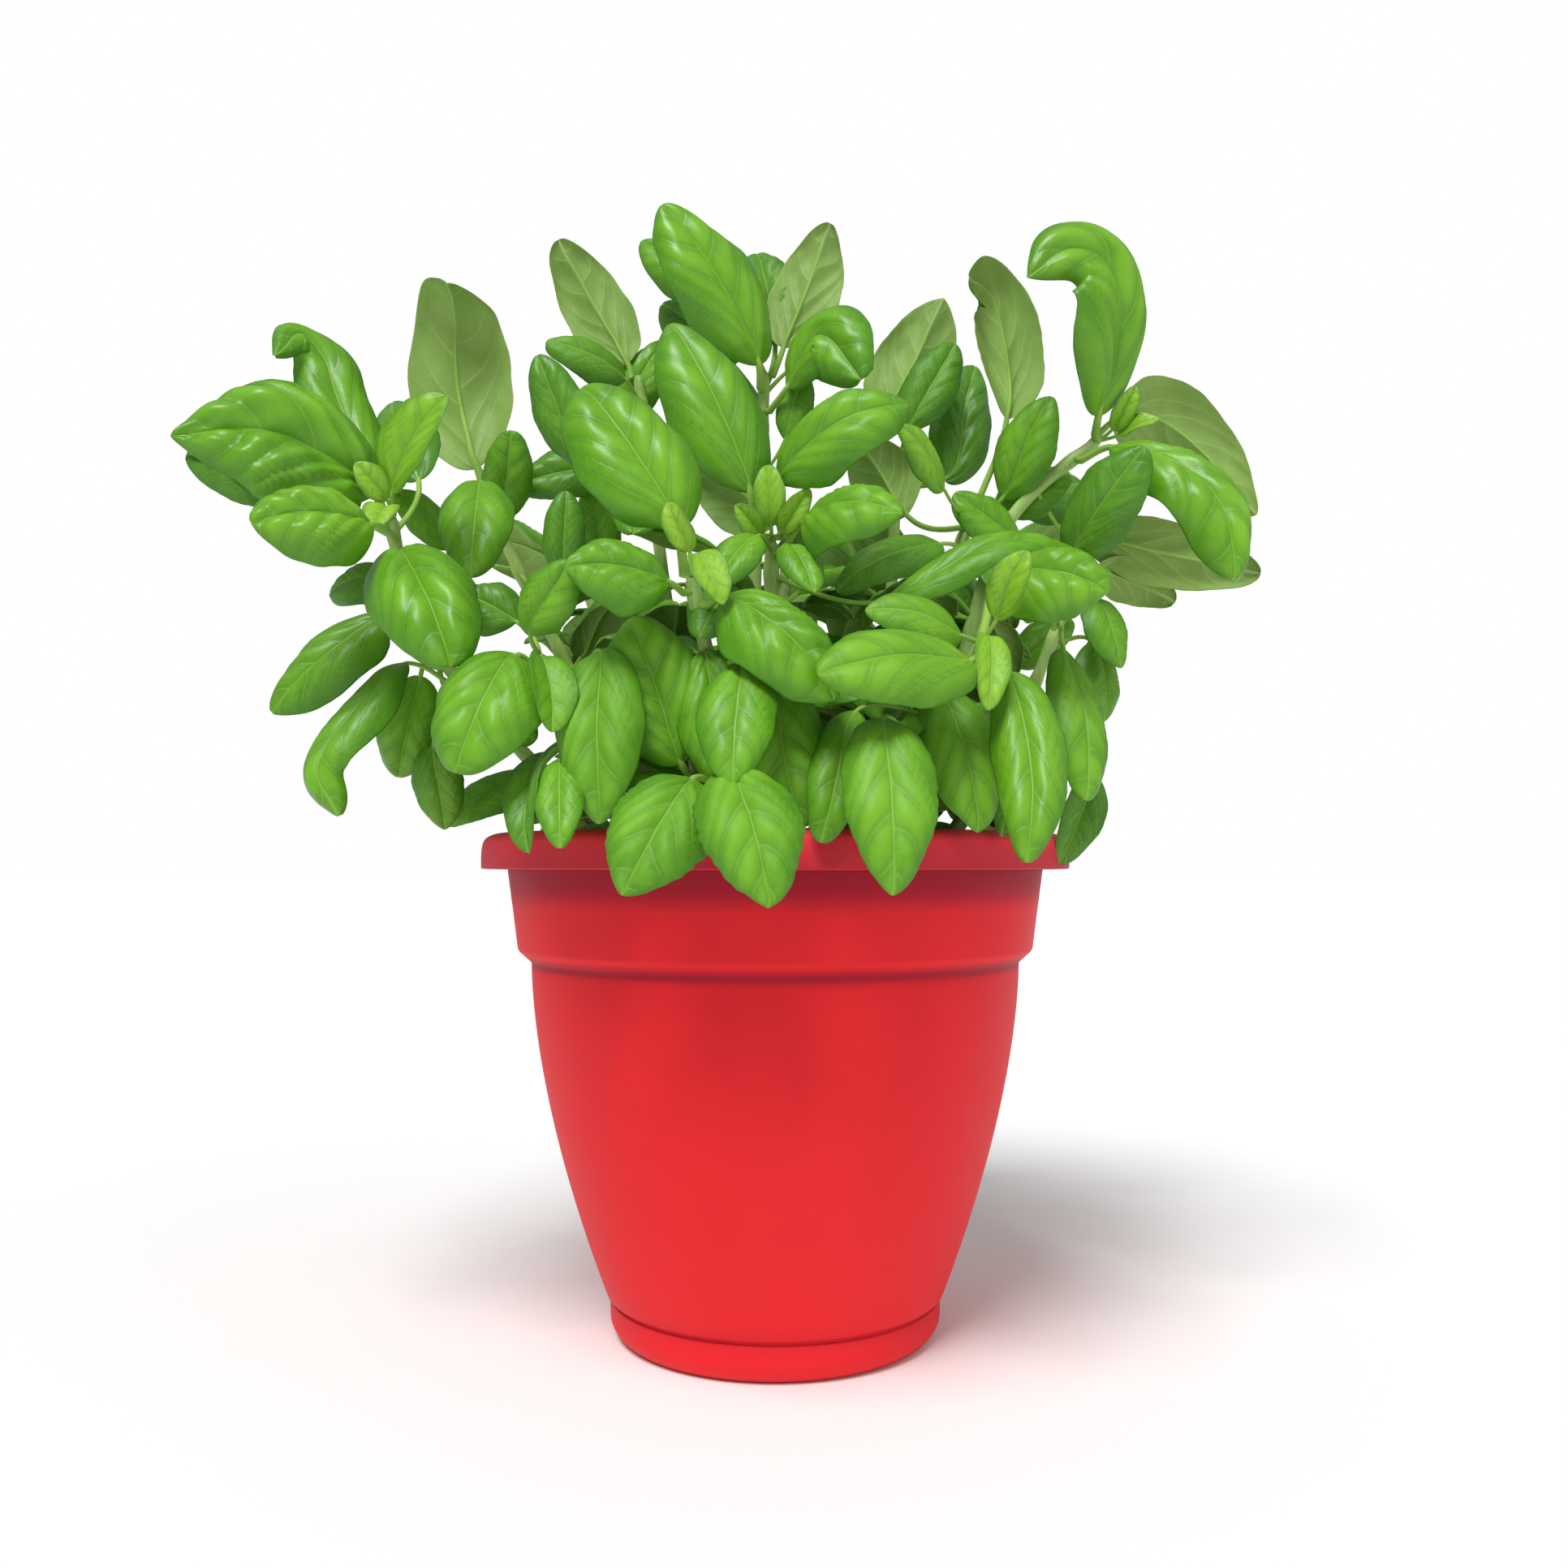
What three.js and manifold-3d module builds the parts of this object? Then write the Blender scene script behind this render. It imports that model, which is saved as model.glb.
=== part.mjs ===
// A basil plant in a round plastic pot: the pot, the soil in it, the stems that stand in the soil,
// and the leaves on their stalks. Millimetres, +Z up. The origin is the centre of the pot's underside,
// and the plant's fullest side faces -Y.
import * as THREE from "three";
import { mergeVertices } from "three/addons/utils/BufferGeometryUtils.js";
import Module from "manifold-3d";

const wasm = await Module();
wasm.setup();

// ---- Driving dimensions ----
const RIM_RADIUS = 101.5; // a 20 cm pot, measured over its lip
const POT_HEIGHT = 170;
const WALL = 2.6;
const LIP_DROP = 12; // height of the lip that is rolled over the rim
const LIP_ROUND = 6; // how far the lip's shoulder is rounded in
const COLLAR_TOP_RADIUS = 92.6;
const COLLAR_FOOT_RADIUS = 89.2;
const COLLAR_FOOT_HEIGHT = 131;
const BODY_TOP_RADIUS = 84.3;
const BODY_TOP_HEIGHT = 126.5;
const BODY_FOOT_RADIUS = 57;
const BODY_SWELL = 1.65; // exponent of the body's outline: 1 is a cone, more is a rounder belly
const FOOT_RADIUS = 56.5;
const FOOT_HEIGHT = 12;
const FOOT_ROUND = 4;
const FOOT_RING = 6; // width of the flat ring that the pot stands on
const UNDERSIDE_RISE = 2.5; // height of the underside inside that ring
const DRAIN_HOLES = 5;
const DRAIN_HOLE_RADIUS = 4.5;
const DRAIN_CIRCLE_RADIUS = 32;
const POT_SEGMENTS = 48;

const SOIL_HEIGHT = 150; // at the wall
const SOIL_MOUND = 3; // how much higher the soil is in the middle
const GAP = 0.5; // clearance between pieces that rest on each other
const SOCKET_DEPTH = 20; // how deep a stem stands in the soil

const STEM_ANGLES = [0, 60, 120, 180, 240, 300];
const STEM_ROWS = 9;
const STEM_TIP_SHARE = 0.62; // radius at the tip over radius at the foot

const LEAF_ANGLES = [0, 45, 90, 135, 180, 240, 300]; // edge, three lines on the upper side, edge, two below
const STALK_ROWS = 3;
const BLADE_ROWS = 8;
const STALK_RADIUS = 1.3;
const BLADE_THICKNESS = 1.1;
const LEAF_CLEARANCE = 0.35; // room that every leaf keeps around itself
const STEPS_PER_SPAN = 40; // steps in which a spine's length is measured between two of its points

const RED_PLASTIC = new THREE.MeshStandardMaterial({ color: 0xdf2f3a, roughness: 0.45, metalness: 0 });
const DARK_SOIL = new THREE.MeshStandardMaterial({ color: 0x3a2a1e, roughness: 0.95, metalness: 0 });
const STEM_GREEN = new THREE.MeshStandardMaterial({ color: 0x8fb350, roughness: 0.55, metalness: 0 });
const LEAF_GREEN = new THREE.MeshStandardMaterial({ color: 0x57a228, roughness: 0.45, metalness: 0 });

const point = ([x, y, z]) => new THREE.Vector3(x, y, z);
const plant = new THREE.Group();

function addPiece(name, geometry, material) {
  const mesh = new THREE.Mesh(geometry, material);
  mesh.name = name;
  plant.add(mesh);
}

// ---- Joining and cutting ----
function toSolid(geometry) {
  const bare = new THREE.BufferGeometry();
  bare.setAttribute("position", geometry.getAttribute("position").clone());
  bare.setIndex(geometry.index.clone());
  const merged = mergeVertices(bare, 1e-3);
  return new wasm.Manifold(
    new wasm.Mesh({
      numProp: 3,
      vertProperties: merged.getAttribute("position").array,
      triVerts: new Uint32Array(merged.index.array),
    }),
  );
}

function toGeometry(solid) {
  const mesh = solid.getMesh();
  const geometry = new THREE.BufferGeometry();
  geometry.setAttribute("position", new THREE.BufferAttribute(mesh.vertProperties, 3));
  geometry.setIndex(new THREE.BufferAttribute(mesh.triVerts, 1));
  geometry.computeVertexNormals();
  return geometry;
}

// A round rod standing on end, used to cut sockets and holes.
function uprightRod(radius, bottom, top, x, y, segments) {
  const rod = new THREE.CylinderGeometry(radius, radius, top - bottom, segments);
  rod.rotateX(Math.PI / 2);
  rod.translate(x, y, (bottom + top) / 2);
  return toSolid(rod);
}

// ---- Pot ----
// The body's outside radius at a height: it swells from the foot and straightens towards the collar.
function bodyRadius(height) {
  const rise = (height - FOOT_HEIGHT) / (BODY_TOP_HEIGHT - FOOT_HEIGHT);
  return BODY_TOP_RADIUS - (BODY_TOP_RADIUS - BODY_FOOT_RADIUS) * (1 - rise) ** BODY_SWELL;
}

const BODY_HEIGHTS = [0, 0.16, 0.34, 0.54, 0.76, 1].map(
  (share) => FOOT_HEIGHT + share * (BODY_TOP_HEIGHT - FOOT_HEIGHT),
);
const FLOOR_TOP = UNDERSIDE_RISE + WALL;

// The inside of the wall from the floor's edge to just under the rim, as [radius, height].
const cavity = [
  [FOOT_RADIUS - WALL - 1, FLOOR_TOP],
  ...BODY_HEIGHTS.map((height) => [bodyRadius(height) - WALL, height]),
  [COLLAR_FOOT_RADIUS - WALL, COLLAR_FOOT_HEIGHT],
  [COLLAR_TOP_RADIUS - WALL, POT_HEIGHT - WALL],
];

function potGeometry() {
  const lipFoot = POT_HEIGHT - LIP_DROP;
  const outline = new THREE.Path();
  outline.moveTo(0, UNDERSIDE_RISE);
  outline.lineTo(FOOT_RADIUS - FOOT_ROUND - FOOT_RING, UNDERSIDE_RISE);
  outline.lineTo(FOOT_RADIUS - FOOT_ROUND - FOOT_RING, 0);
  outline.lineTo(FOOT_RADIUS - FOOT_ROUND, 0);
  outline.absarc(FOOT_RADIUS - FOOT_ROUND, FOOT_ROUND, FOOT_ROUND, -Math.PI / 2, 0, false);
  outline.lineTo(FOOT_RADIUS, FOOT_HEIGHT - 1);
  BODY_HEIGHTS.forEach((height) => outline.lineTo(bodyRadius(height), height));
  outline.lineTo(COLLAR_FOOT_RADIUS, COLLAR_FOOT_HEIGHT);
  outline.lineTo(COLLAR_TOP_RADIUS, lipFoot);
  // The lip is a thin skirt that stands off from the collar, open underneath.
  outline.lineTo(COLLAR_TOP_RADIUS, POT_HEIGHT - WALL - 1);
  outline.lineTo(RIM_RADIUS - WALL, POT_HEIGHT - WALL - 3);
  outline.lineTo(RIM_RADIUS - WALL, lipFoot);
  outline.lineTo(RIM_RADIUS, lipFoot);
  outline.lineTo(RIM_RADIUS, lipFoot + 3);
  outline.quadraticCurveTo(RIM_RADIUS, POT_HEIGHT, RIM_RADIUS - LIP_ROUND, POT_HEIGHT);
  outline.lineTo(COLLAR_TOP_RADIUS, POT_HEIGHT);
  [...cavity].reverse().forEach(([radius, height]) => outline.lineTo(radius, height));
  outline.lineTo(0, FLOOR_TOP);
  return new THREE.LatheGeometry(outline.getPoints(3), POT_SEGMENTS).rotateX(Math.PI / 2);
}

function drilledPot() {
  let solid = toSolid(potGeometry());
  for (let hole = 0; hole < DRAIN_HOLES; hole++) {
    const turn = (2 * Math.PI * hole) / DRAIN_HOLES;
    const x = DRAIN_CIRCLE_RADIUS * Math.cos(turn);
    const y = DRAIN_CIRCLE_RADIUS * Math.sin(turn);
    solid = solid.subtract(uprightRod(DRAIN_HOLE_RADIUS, 0, FLOOR_TOP + 1, x, y, 12));
  }
  return solid;
}

// ---- Soil ----
// The soil fills the cavity up to its own height, a gap away from the wall, and is mounded in the middle.
function soilGeometry() {
  const inside = cavity.slice(0, -1).map(([radius, height]) => [radius - GAP, height]);
  inside[0][1] += GAP;
  const [lowRadius, lowHeight] = cavity.at(-2);
  const [highRadius, highHeight] = cavity.at(-1);
  const rise = (SOIL_HEIGHT - lowHeight) / (highHeight - lowHeight);
  const topRadius = lowRadius + rise * (highRadius - lowRadius) - GAP;
  const outline = [
    [0, inside[0][1]],
    ...inside,
    [topRadius, SOIL_HEIGHT],
    [topRadius * 0.6, SOIL_HEIGHT + SOIL_MOUND * 0.7],
    [0, SOIL_HEIGHT + SOIL_MOUND],
  ];
  const points = outline.map(([radius, height]) => new THREE.Vector2(radius, height));
  return new THREE.LatheGeometry(points, POT_SEGMENTS).rotateX(Math.PI / 2);
}

// ---- Bodies swept along a line ----
// A closed body made of rings, with a pole at each end. Each section has a centre, two unit vectors,
// across and up, and an outline that gives [across, up] for each column.
// A SphereGeometry has that layout already, so its vertices are moved into place.
function sweptBody(sections, columns) {
  const geometry = new THREE.SphereGeometry(1, columns, sections.length - 1);
  const position = geometry.getAttribute("position");
  sections.forEach(({ centre, across, up, outline }, row) => {
    for (let column = 0; column <= columns; column++) {
      const [x, y] = outline[column % columns] ?? [0, 0];
      const vertex = centre.clone().addScaledVector(across, x).addScaledVector(up, y);
      position.setXYZ(row * (columns + 1) + column, vertex.x, vertex.y, vertex.z);
    }
  });
  return geometry;
}

// A round section, with its columns at the given angles in degrees.
const roundOutline = (radius, angles) =>
  angles.map(THREE.MathUtils.degToRad).map((turn) => [radius * Math.cos(turn), radius * Math.sin(turn)]);

// The unit vector up made square to a tangent, and the unit vector across them both.
function squareTo(up, tangent) {
  const square = up.clone().addScaledVector(tangent, -up.dot(tangent)).normalize();
  return { up: square, across: new THREE.Vector3().crossVectors(tangent, square).normalize() };
}

// ---- Stems ----
// name: [radius at the foot, points along the stem above the soil]
const STEMS = {
  left: [3.0, [[-44, -14, 155], [-84, -30, 197], [-117, -42, 240], [-124, -46, 272]]],
  left_back: [2.8, [[-36, 10, 155], [-72, 8, 225], [-97, 3, 275], [-104, 2, 298]]],
  front_left: [2.8, [[-34, -46, 155], [-52, -68, 188], [-69, -84, 221]]],
  centre_left: [3.0, [[-12, -42, 155], [-16, -70, 200], [-24, -90, 243]]],
  centre: [3.2, [[2, -16, 155], [-1, -38, 210], [-1, -56, 262]]],
  top: [3.2, [[-6, 10, 155], [-8, 6, 240], [-4, 0, 336]]],
  top_left: [3.0, [[-22, 24, 155], [-38, 20, 240], [-51, 13, 340]]],
  right_mid: [3.0, [[24, -2, 155], [46, -4, 220], [69, -5, 282]]],
  right_back: [3.0, [[26, 20, 155], [40, 18, 230], [45, 14, 308]]],
  right_top: [3.0, [[40, -6, 155], [62, -10, 220], [82, -14, 280], [112, -17, 306]]],
  front_right: [2.8, [[30, -42, 155], [47, -64, 190], [61, -82, 225]]],
  right: [2.8, [[52, -26, 155], [78, -28, 200], [98, -25, 246]]],
  back_left: [3.0, [[-30, 40, 155], [-60, 62, 220], [-80, 75, 278]]],
  back_centre: [3.0, [[2, 42, 155], [0, 64, 230], [5, 80, 298]]],
  back_right: [3.0, [[36, 32, 155], [60, 54, 215], [80, 70, 273]]],
};

function stemCurve(points) {
  const foot = point(points[0]);
  const rooted = [SOCKET_DEPTH + 2, SOCKET_DEPTH / 2].map((depth) =>
    foot.clone().setZ(foot.z - depth),
  );
  return new THREE.CatmullRomCurve3([...rooted, ...points.map(point)], false, "centripetal");
}

function stemRadius(stem, share) {
  return stem.radius * (1 - (1 - STEM_TIP_SHARE) * share);
}

function stemGeometry(stem) {
  const sections = [];
  const spread = stem.curve.getSpacedPoints(STEM_ROWS);
  let up = new THREE.Vector3(0, 1, 0);
  spread.forEach((centre, row) => {
    const share = row / STEM_ROWS;
    const turned = squareTo(up, stem.curve.getTangentAt(share));
    up = turned.up;
    const ring = { centre, ...turned, outline: roundOutline(stemRadius(stem, share), STEM_ANGLES) };
    if (row === 0) sections.push({ ...ring, outline: [] });
    sections.push(ring);
    if (row === STEM_ROWS) sections.push({ ...ring, outline: [] });
  });
  return sweptBody(sections, STEM_ANGLES.length);
}

// ---- Leaves ----
// Each leaf says which stem it is on and where its stalk starts there (at: 0 is the stem's foot, 1 its
// tip), where its blade's foot and tip are, the blade's width, and the way that its upper side faces.
// cup lifts the blade's edges over its midrib, as a share of half the width, or drops them if negative.
// arch bows the midrib out towards the upper side, as a share of the blade's length. In a blade that
// bends more, via gives points of the midrib instead.
const LEAVES = {
  left_1: {
    stem: "left", at: 1.0, foot: [-128, -50, 278], tip: [-183, -75, 289],
    width: 49, faces: [0.1, -0.9, 0.42],
    cup: -0.15, via: [[-155, -67, 292]],
  },
  left_2: {
    stem: "left", at: 0.94, foot: [-132, -36, 282], tip: [-166, -38, 329],
    width: 25, faces: [0.5, -0.85, 0.2],
    cup: -0.2, via: [[-147, -28, 312], [-161, -22, 341]],
  },
  left_3: {
    stem: "left", at: 0.96, foot: [-121, -77, 262], tip: [-148, -100, 256],
    width: 31, faces: [-0.1, -0.9, 0.4],
    arch: 0.12, cup: -0.4,
  },
  left_4: {
    stem: "left", at: 1.0, foot: [-121, -56, 277], tip: [-102, -66, 305],
    width: 23, faces: [-0.35, -0.9, 0.3],
    arch: 0.08, cup: 0.3,
  },
  left_5: {
    stem: "left", at: 0.84, foot: [-117, -59, 257], tip: [-92, -97, 216],
    width: 32, faces: [0.1, -0.85, 0.5],
    arch: 0.14, cup: -0.35,
  },
  left_6: {
    stem: "left", at: 0.72, foot: [-122, -50, 238], tip: [-157, -60, 207],
    width: 27, faces: [-0.2, -0.85, 0.5],
    arch: 0.08, cup: -0.3,
  },
  left_7: {
    stem: "left", at: 0.66, foot: [-116, -54, 223], tip: [-129, -80, 174],
    width: 21, faces: [-0.5, -0.85, 0.2],
    cup: -0.35, via: [[-126, -68, 208], [-136, -77, 187]],
  },
  left_back_1: {
    stem: "left_back", at: 1.0, foot: [-108, 5, 303], tip: [-117, -4, 370],
    width: 40, faces: [0.1, 1, 0.1],
    cup: 0.12, via: [[-117, 12, 336], [-118, 9, 364]],
  },
  left_back_2: {
    stem: "left_back", at: 0.9, foot: [-100, -22, 290], tip: [-98, -50, 252],
    width: 25, faces: [0.1, -0.95, 0.3],
    arch: 0.1, cup: -0.2,
  },
  front_left_1: {
    stem: "front_left", at: 0.96, foot: [-74, -90, 220], tip: [-87, -112, 185],
    width: 32, faces: [0, -0.85, 0.5],
    arch: 0.12, cup: -0.3,
  },
  front_left_2: {
    stem: "front_left", at: 0.86, foot: [-51, -88, 222], tip: [-48, -108, 171],
    width: 26, faces: [-0.1, -0.95, 0.25],
    arch: 0.06, cup: -0.2,
  },
  centre_left_1: {
    stem: "centre_left", at: 1.0, foot: [-28, -93, 256], tip: [-58, -83, 303],
    width: 35, faces: [0.1, -0.9, 0.4],
    arch: 0.06, cup: -0.25,
  },
  centre_left_2: {
    stem: "centre_left", at: 0.97, foot: [-30, -96, 240], tip: [-58, -107, 242],
    width: 26, faces: [0, -0.9, 0.45],
    arch: 0.1, cup: -0.3,
  },
  centre_left_3: {
    stem: "centre_left", at: 0.93, foot: [-14, -94, 236], tip: [17, -109, 205],
    width: 30, faces: [0.2, -0.85, 0.5],
    arch: 0.12, cup: -0.35,
  },
  centre_left_4: {
    stem: "centre_left", at: 0.46, foot: [-27, -88, 188], tip: [-43, -86, 232],
    width: 31, faces: [0.05, -0.97, 0.2],
    arch: 0.05, cup: -0.15,
  },
  centre_left_5: {
    stem: "centre_left", at: 0.42, foot: [-22, -106, 183], tip: [-39, -129, 152],
    width: 29, faces: [0.1, -0.8, 0.55],
    arch: 0.1, cup: -0.25,
  },
  centre_left_6: {
    stem: "centre_left", at: 0.66, foot: [-11, -113, 186], tip: [-1, -136, 149],
    width: 28, faces: [0, -0.8, 0.6],
    arch: 0.12, cup: -0.2,
  },
  centre_1: {
    stem: "centre", at: 1.0, foot: [-8, -60, 276], tip: [-34, -50, 335],
    width: 32, faces: [0.2, -0.9, 0.35],
    arch: 0.06, cup: -0.3,
  },
  centre_2: {
    stem: "centre", at: 1.0, foot: [1, -61, 278], tip: [41, -75, 300],
    width: 30, faces: [-0.25, -0.87, 0.42],
    arch: 0.17, cup: -0.25,
  },
  centre_3: {
    stem: "centre", at: 0.97, foot: [9, -66, 265], tip: [37, -92, 261],
    width: 30, faces: [0, -0.88, 0.47],
    arch: 0.16, cup: -0.4,
  },
  top_1: {
    stem: "top", at: 0.97, foot: [-6, -8, 336], tip: [-40, -16, 391],
    width: 35, faces: [0.1, -0.85, 0.5],
    arch: 0.08, cup: -0.2,
  },
  top_2: {
    stem: "top", at: 1.0, foot: [3, 6, 348], tip: [20, 11, 396],
    width: 26, faces: [0.2, 0.9, 0.3],
    arch: 0.06, cup: 0.2,
  },
  top_3: {
    stem: "top", at: 0.93, foot: [4, -10, 327], tip: [29, -30, 323],
    width: 28, faces: [0.1, -0.9, 0.4],
    cup: -0.3, via: [[15, -19, 342]],
  },
  top_left_1: {
    stem: "top_left", at: 1.0, foot: [-55, 16, 346], tip: [-82, 21, 395],
    width: 25, faces: [-0.2, 0.9, 0.4],
    arch: 0.06, cup: 0.2,
  },
  right_mid_1: {
    stem: "right_mid", at: 1.0, foot: [82, -10, 316], tip: [65, -18, 363],
    width: 27, faces: [-0.35, 0.9, 0.1],
    cup: -0.3, via: [[83, -5, 341], [77, -6, 363]],
  },
  right_back_1: {
    stem: "right_back", at: 1.0, foot: [41, 16, 324], tip: [64, 28, 375],
    width: 31, faces: [0.2, 0.9, 0.3],
    arch: 0.06, cup: 0.25,
  },
  right_top_1: {
    stem: "right_top", at: 1.0, foot: [110, -25, 312], tip: [83, -46, 352],
    width: 35, faces: [0.6, -0.8, 0],
    cup: -0.2, via: [[114, -32, 332], [114, -36, 348], [108, -39, 360], [96, -42, 362]],
  },
  right_top_2: {
    stem: "right_top", at: 0.98, foot: [120, -8, 316], tip: [181, 25, 291],
    width: 31, faces: [0.35, 0.9, 0.2],
    cup: 0.2, via: [[138, 8, 323], [157, 18, 315]],
  },
  right_top_3: {
    stem: "right_top", at: 0.95, foot: [114, -26, 301], tip: [146, -55, 250],
    width: 32, faces: [0.3, -0.85, 0.45],
    cup: -0.35, via: [[132, -42, 290], [142, -50, 275]],
  },
  front_right_1: {
    stem: "front_right", at: 1.0, foot: [56, -100, 217], tip: [12, -124, 210],
    width: 28, faces: [-0.05, -0.85, 0.5],
    arch: 0.08, cup: -0.3,
  },
  front_right_2: {
    stem: "front_right", at: 1.0, foot: [71, -64, 249], tip: [99, -81, 240],
    width: 33, faces: [0.05, -0.9, 0.45],
    arch: 0.14, cup: -0.35,
  },
  front_right_3: {
    stem: "front_right", at: 0.86, foot: [50, -79, 213], tip: [58, -97, 169],
    width: 25, faces: [0.15, -0.95, 0.2],
    arch: 0.06, cup: -0.2,
  },
  front_right_4: {
    stem: "front_right", at: 0.64, foot: [31, -105, 200], tip: [31, -129, 152],
    width: 26, faces: [0, -0.9, 0.4],
    arch: 0.08, cup: -0.2,
  },
  front_right_5: {
    stem: "front_right", at: 0.94, foot: [67, -88, 215], tip: [68, -117, 161],
    width: 21, faces: [-0.2, -0.9, 0.4],
    cup: -0.3, via: [[71, -106, 185]],
  },
  right_1: {
    stem: "right", at: 1.0, foot: [111, 8, 278], tip: [176, 8, 265],
    width: 25, faces: [0, 0.85, 0.5],
    arch: 0.04, cup: -0.15,
  },
  right_2: {
    stem: "right", at: 0.95, foot: [92, -50, 228], tip: [94, -72, 179],
    width: 20, faces: [0.4, -0.85, 0.2],
    arch: 0.08, cup: -0.25,
  },
  back_left_1: {
    stem: "back_left", at: 1.0, foot: [-86, 80, 282], tip: [-134, 102, 300],
    width: 38, faces: [-0.2, 0.6, 0.8],
    arch: 0.14, cup: -0.3,
  },
  back_left_2: {
    stem: "back_left", at: 0.94, foot: [-76, 86, 268], tip: [-72, 126, 238],
    width: 38, faces: [0, 0.7, 0.7],
    arch: 0.16, cup: -0.3,
  },
  back_centre_1: {
    stem: "back_centre", at: 1.0, foot: [0, 86, 304], tip: [-40, 108, 336],
    width: 38, faces: [0.1, 0.7, 0.6],
    arch: 0.12, cup: -0.25,
  },
  back_centre_2: {
    stem: "back_centre", at: 0.97, foot: [14, 88, 296], tip: [56, 114, 296],
    width: 38, faces: [0.1, 0.5, 0.85],
    arch: 0.16, cup: -0.3,
  },
  back_centre_3: {
    stem: "back_centre", at: 0.9, foot: [2, 92, 280], tip: [-4, 136, 246],
    width: 38, faces: [0, 0.75, 0.65],
    arch: 0.14, cup: -0.3,
  },
  back_right_1: {
    stem: "back_right", at: 1.0, foot: [87, 75, 278], tip: [134, 92, 300],
    width: 38, faces: [-0.1, 0.5, 0.85],
    arch: 0.14, cup: -0.3,
  },
  back_right_2: {
    stem: "back_right", at: 0.93, foot: [82, 84, 262], tip: [96, 123, 232],
    width: 36, faces: [0.1, 0.7, 0.7],
    arch: 0.16, cup: -0.3,
  },
};

// Half the blade's width at a share of the way from its foot to its tip: round below, drawn out above.
const bladeHalfWidth = (share, width) => (width / 2) * Math.sin(Math.PI * share ** 0.85) ** 0.62;

// The seven points of a blade's section: edge, three over the upper side, edge, two under the lower side.
function bladeOutline(halfWidth, cup, thickness) {
  const lift = (share) => cup * halfWidth * share * share;
  const half = thickness / 2;
  return [
    [halfWidth, lift(1)],
    [halfWidth / 2, lift(0.5) + half],
    [0, half],
    [-halfWidth / 2, lift(0.5) + half],
    [-halfWidth, lift(1)],
    [-halfWidth / 3, lift(1 / 3) - half],
    [halfWidth / 3, lift(1 / 3) - half],
  ];
}

// The stalk's start: beside the stem, on the side that the blade is on, clear of the stem's surface.
function stalkStart(stem, at, foot) {
  const centre = stem.curve.getPointAt(at);
  const tangent = stem.curve.getTangentAt(at);
  const outward = foot.clone().sub(centre);
  outward.addScaledVector(tangent, -outward.dot(tangent)).normalize();
  return centre.addScaledVector(outward, stemRadius(stem, at) + STALK_RADIUS + GAP + LEAF_CLEARANCE);
}

// The line that runs up the stalk and along the midrib, and the share of it that is stalk.
function leafSpine(leaf) {
  const foot = point(leaf.foot);
  const tip = point(leaf.tip);
  const faces = point(leaf.faces).normalize();
  const middle = foot.clone().lerp(tip, 0.5).addScaledVector(faces, (leaf.arch ?? 0) * foot.distanceTo(tip));
  const bends = leaf.via ? leaf.via.map(point) : [middle];
  const points = [stalkStart(stems[leaf.stem], leaf.at, foot), foot, ...bends, tip];
  const curve = new THREE.CatmullRomCurve3(points, false, "centripetal");
  const lengths = curve.getLengths(STEPS_PER_SPAN * (points.length - 1));
  return { curve, faces, footShare: lengths[STEPS_PER_SPAN] / lengths.at(-1) };
}

// thicker swells the whole leaf by that much, to test its clearance.
function leafGeometry(leaf, thicker) {
  const { curve, faces, footShare } = leafSpine(leaf);
  const stalkRing = roundOutline(STALK_RADIUS + thicker, LEAF_ANGLES);
  const rings = [{ along: 0, outline: [] }];
  for (let row = 0; row < STALK_ROWS; row++) {
    rings.push({ along: (footShare * row) / STALK_ROWS, outline: stalkRing });
  }
  for (let row = 0; row < BLADE_ROWS; row++) {
    const share = (row + 0.35) / BLADE_ROWS;
    const halfWidth = bladeHalfWidth(share, leaf.width) + thicker;
    rings.push({
      along: footShare + share * (1 - footShare),
      outline: bladeOutline(halfWidth, leaf.cup, BLADE_THICKNESS + 2 * thicker),
    });
  }
  rings.push({ along: 1, outline: [] });

  // The blade faces its own way at its middle, and the other sections follow from there.
  const sections = rings.map(({ along, outline }) => ({ centre: curve.getPointAt(along), outline }));
  const middleRow = STALK_ROWS + Math.round(BLADE_ROWS / 2);
  const square = (row, up) => {
    Object.assign(sections[row], squareTo(up, curve.getTangentAt(rings[row].along)));
  };
  square(middleRow, faces);
  for (let row = middleRow + 1; row < sections.length; row++) square(row, sections[row - 1].up);
  for (let row = middleRow - 1; row >= 0; row--) square(row, sections[row + 1].up);
  return sweptBody(sections, LEAF_ANGLES.length);
}

// ---- Assembly ----
const placed = []; // the solids that are already in place

function boxesMeet(a, b) {
  const boxA = a.boundingBox();
  const boxB = b.boundingBox();
  return [0, 1, 2].every((axis) => boxA.min[axis] <= boxB.max[axis] && boxB.min[axis] <= boxA.max[axis]);
}

const isClear = (solid) =>
  placed.every((other) => !boxesMeet(solid, other) || solid.intersect(other).volume() < 1e-4);

const pot = drilledPot();
placed.push(pot);
addPiece("pot", toGeometry(pot), RED_PLASTIC);

const stems = {};
let soil = toSolid(soilGeometry());
for (const [name, [radius, points]] of Object.entries(STEMS)) {
  stems[name] = { radius, curve: stemCurve(points) };
  const [x, y] = points[0];
  const socket = uprightRod(radius + 2 * GAP, SOIL_HEIGHT - SOCKET_DEPTH, SOIL_HEIGHT + 9, x, y, 12);
  soil = soil.subtract(socket);
}
placed.push(soil);
addPiece("soil", toGeometry(soil), DARK_SOIL);

for (const [name, stem] of Object.entries(stems)) {
  const geometry = stemGeometry(stem);
  const solid = toSolid(geometry);
  if (!isClear(solid)) throw new Error(`stem ${name} runs into another piece`);
  placed.push(solid);
  addPiece(`stem_${name}`, geometry, STEM_GREEN);
}

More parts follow.
